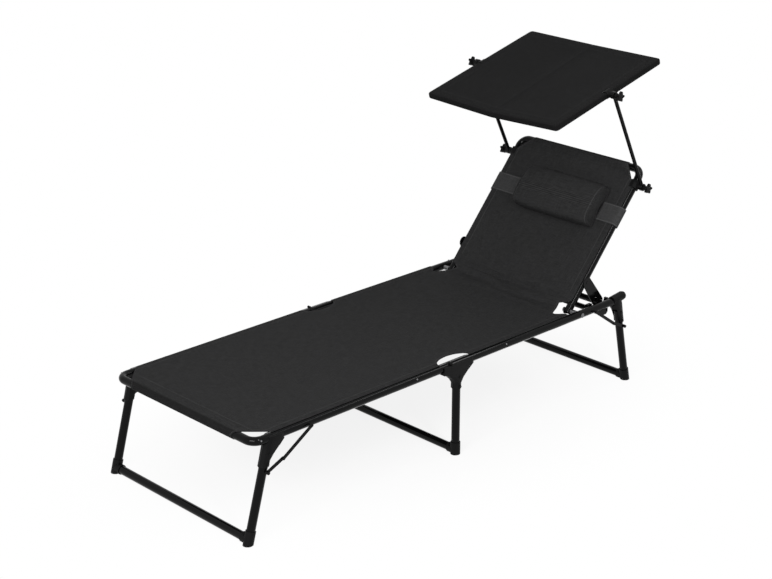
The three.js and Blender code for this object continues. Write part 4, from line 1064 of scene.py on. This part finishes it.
def strap():
    """An elastic belt of webbing round the backrest, drawn tight over its tubes."""
    inner = TUBE_RADIUS + 2 * GAP + CLOTH + STRAP_THICKNESS / 2
    line = []  # the loop, seen along the backrest: across it, and out of its front
    for centre, start in ((BACK_Y, -90), (-BACK_Y, 90)):
        # Half a turn round a side tube, then straight across to the other
        for step in range(13):
            turn = math.radians(start + 15 * step)
            line.append((centre + inner * math.cos(turn), inner * math.sin(turn)))
        toward = -1 if centre > 0 else 1
        level = line[-1][1]
        for step in range(1, 20):
            line.append((centre + toward * 2 * BACK_Y * step / 20, level))
    columns = [-0.5, -0.485, -0.45, -0.3, -0.15, 0, 0.15, 0.3, 0.45, 0.485, 0.5]
    points, places, seams, faces = [], [], [], []
    length = 0.0
    for i, (y, out) in enumerate(line):
        if i:
            length += math.dist(line[i - 1], line[i])
        for share in columns:
            # Its edges lie a little lower.
            thin = -0.25 * max(0, abs(share) - 0.45) / 0.05
            along = STRAP_PLACE + STRAP_WIDTH * share + 0.5 * math.sin(y / 37 + 1)
            points.append(on_back(along, y, out + math.copysign(thin, out)))
            places.append((STRAP_WIDTH * share / 1000, length / 1000, 0))
            stitching = STRAP_WIDTH * (0.5 - abs(share)) - 3
            seams.append((stitching / 1000, NO_SEAM / 1000, length / 1000))
    count, rows = len(columns), len(line)
    for row in range(rows):
        faces += row_faces(row * count, (row + 1) % rows * count, count)
    piece = new_piece("strap_belt", points, faces, STRAP_WEB)
    give_places(piece, places, seams)
    thicken(piece, STRAP_THICKNESS / 1000)
    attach(piece, "pillow")
    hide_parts("pillow_strap")


# Stage, light and camera


def pale(tree):
    """One for rays that see the background itself: the camera's, and in metal and glass."""
    path = add(tree, "ShaderNodeLightPath")
    camera_ray, glossy, through = (
        path.outputs[f"Is {kind} Ray"] for kind in ("Camera", "Glossy", "Transmission")
    )
    return calc(tree, "MAXIMUM", calc(tree, "MAXIMUM", camera_ray, glossy), through)


def stage():
    """A floor that fades to white away from the lounger, a grey world and three lamps."""
    reach = 40
    corners = [(-reach, -reach, 0), (reach, -reach, 0), (reach, reach, 0), (-reach, reach, 0)]
    made = bpy.data.materials.new("pale_floor")
    made.use_nodes = True
    tree = made.node_tree
    shader = tree.nodes["Principled BSDF"]
    shader.inputs["Base Color"].default_value = (0.93, 0.93, 0.93, 1)
    shader.inputs["Roughness"].default_value = 0.9
    shader.inputs["Specular IOR Level"].default_value = 0.1
    white = add(tree, "ShaderNodeEmission", {"Color": (1, 1, 1, 1), "Strength": 1.0})
    place = add(tree, "ShaderNodeTexCoord").outputs["Object"]
    oval = scaled(tree, place, (0.75, 1.3, 0))
    away = add(tree, "ShaderNodeVectorMath", {0: oval}, operation="LENGTH").outputs["Value"]
    share = calc(tree, "MULTIPLY", spread(tree, away, 0.3, 1.0, 0.86, 1.0), pale(tree))
    mixed = add(tree, "ShaderNodeMixShader", {0: share, 1: shader.outputs[0], 2: white.outputs[0]})
    tree.links.new(mixed.outputs[0], tree.nodes["Material Output"].inputs["Surface"])
    new_piece("floor", corners, [(0, 1, 2, 3)], made)

    world = bpy.data.worlds.new("studio")
    bpy.context.scene.world = world
    world.use_nodes = True
    tree = world.node_tree
    background = tree.nodes["Background"]
    background.inputs["Color"].default_value = (1, 1, 1, 1)
    tree.links.new(blend_values(tree, pale(tree), 0.4, 1.0), background.inputs["Strength"])

    for name, place, size, energy in (
        ("key", (-1.1, -2.8, 2.9), (0.3, 1.7), 44),
        ("front", (-3.4, -1.6, 2.2), (2.0, 1.4), 105),
        ("rim", (1.8, -1.3, 2.7), (1.6, 0.2), 11),
    ):
        lamp = bpy.data.lights.new(name, "AREA")
        lamp.shape = "RECTANGLE"
        lamp.size, lamp.size_y = size
        lamp.energy = energy
        holder = bpy.data.objects.new(name, lamp)
        holder.location = place
        aim = Vector((0, 0, 0.35)) - Vector(place)
        holder.rotation_euler = aim.to_track_quat("-Z", "Y").to_euler()
        bpy.context.scene.collection.objects.link(holder)


def camera():
    """The photo's view, fitted to corners of the bed, legs, backrest and canopy in it."""
    place, lens = (-3.55270, -3.64356, 2.37977), 84.08
    yaw, pitch, roll = (math.radians(a) for a in (46.1816, -21.0306, -0.0427))
    level = math.cos(pitch)
    ahead = Vector((math.cos(yaw) * level, math.sin(yaw) * level, math.sin(pitch)))
    right = ahead.cross(Vector((0, 0, 1))).normalized()
    up = right.cross(ahead)
    tilted = right * math.cos(roll) + up * math.sin(roll)
    upright = up * math.cos(roll) - right * math.sin(roll)
    view = bpy.data.cameras.new("photo_view")
    view.sensor_width = 36
    view.lens = lens
    holder = bpy.data.objects.new("photo_view", view)
    bpy.context.scene.collection.objects.link(holder)
    matrix = Matrix((tilted, upright, -ahead)).transposed().to_4x4()
    matrix.translation = Vector(place)
    holder.matrix_world = matrix
    bpy.context.scene.camera = holder
    bpy.context.scene.view_settings.view_transform = "Standard"


camera()
stage()
rigid_pieces()
rail_rivets()
front_sheet()
rear_sheet()
canopy_cover()
pillow()
strap()
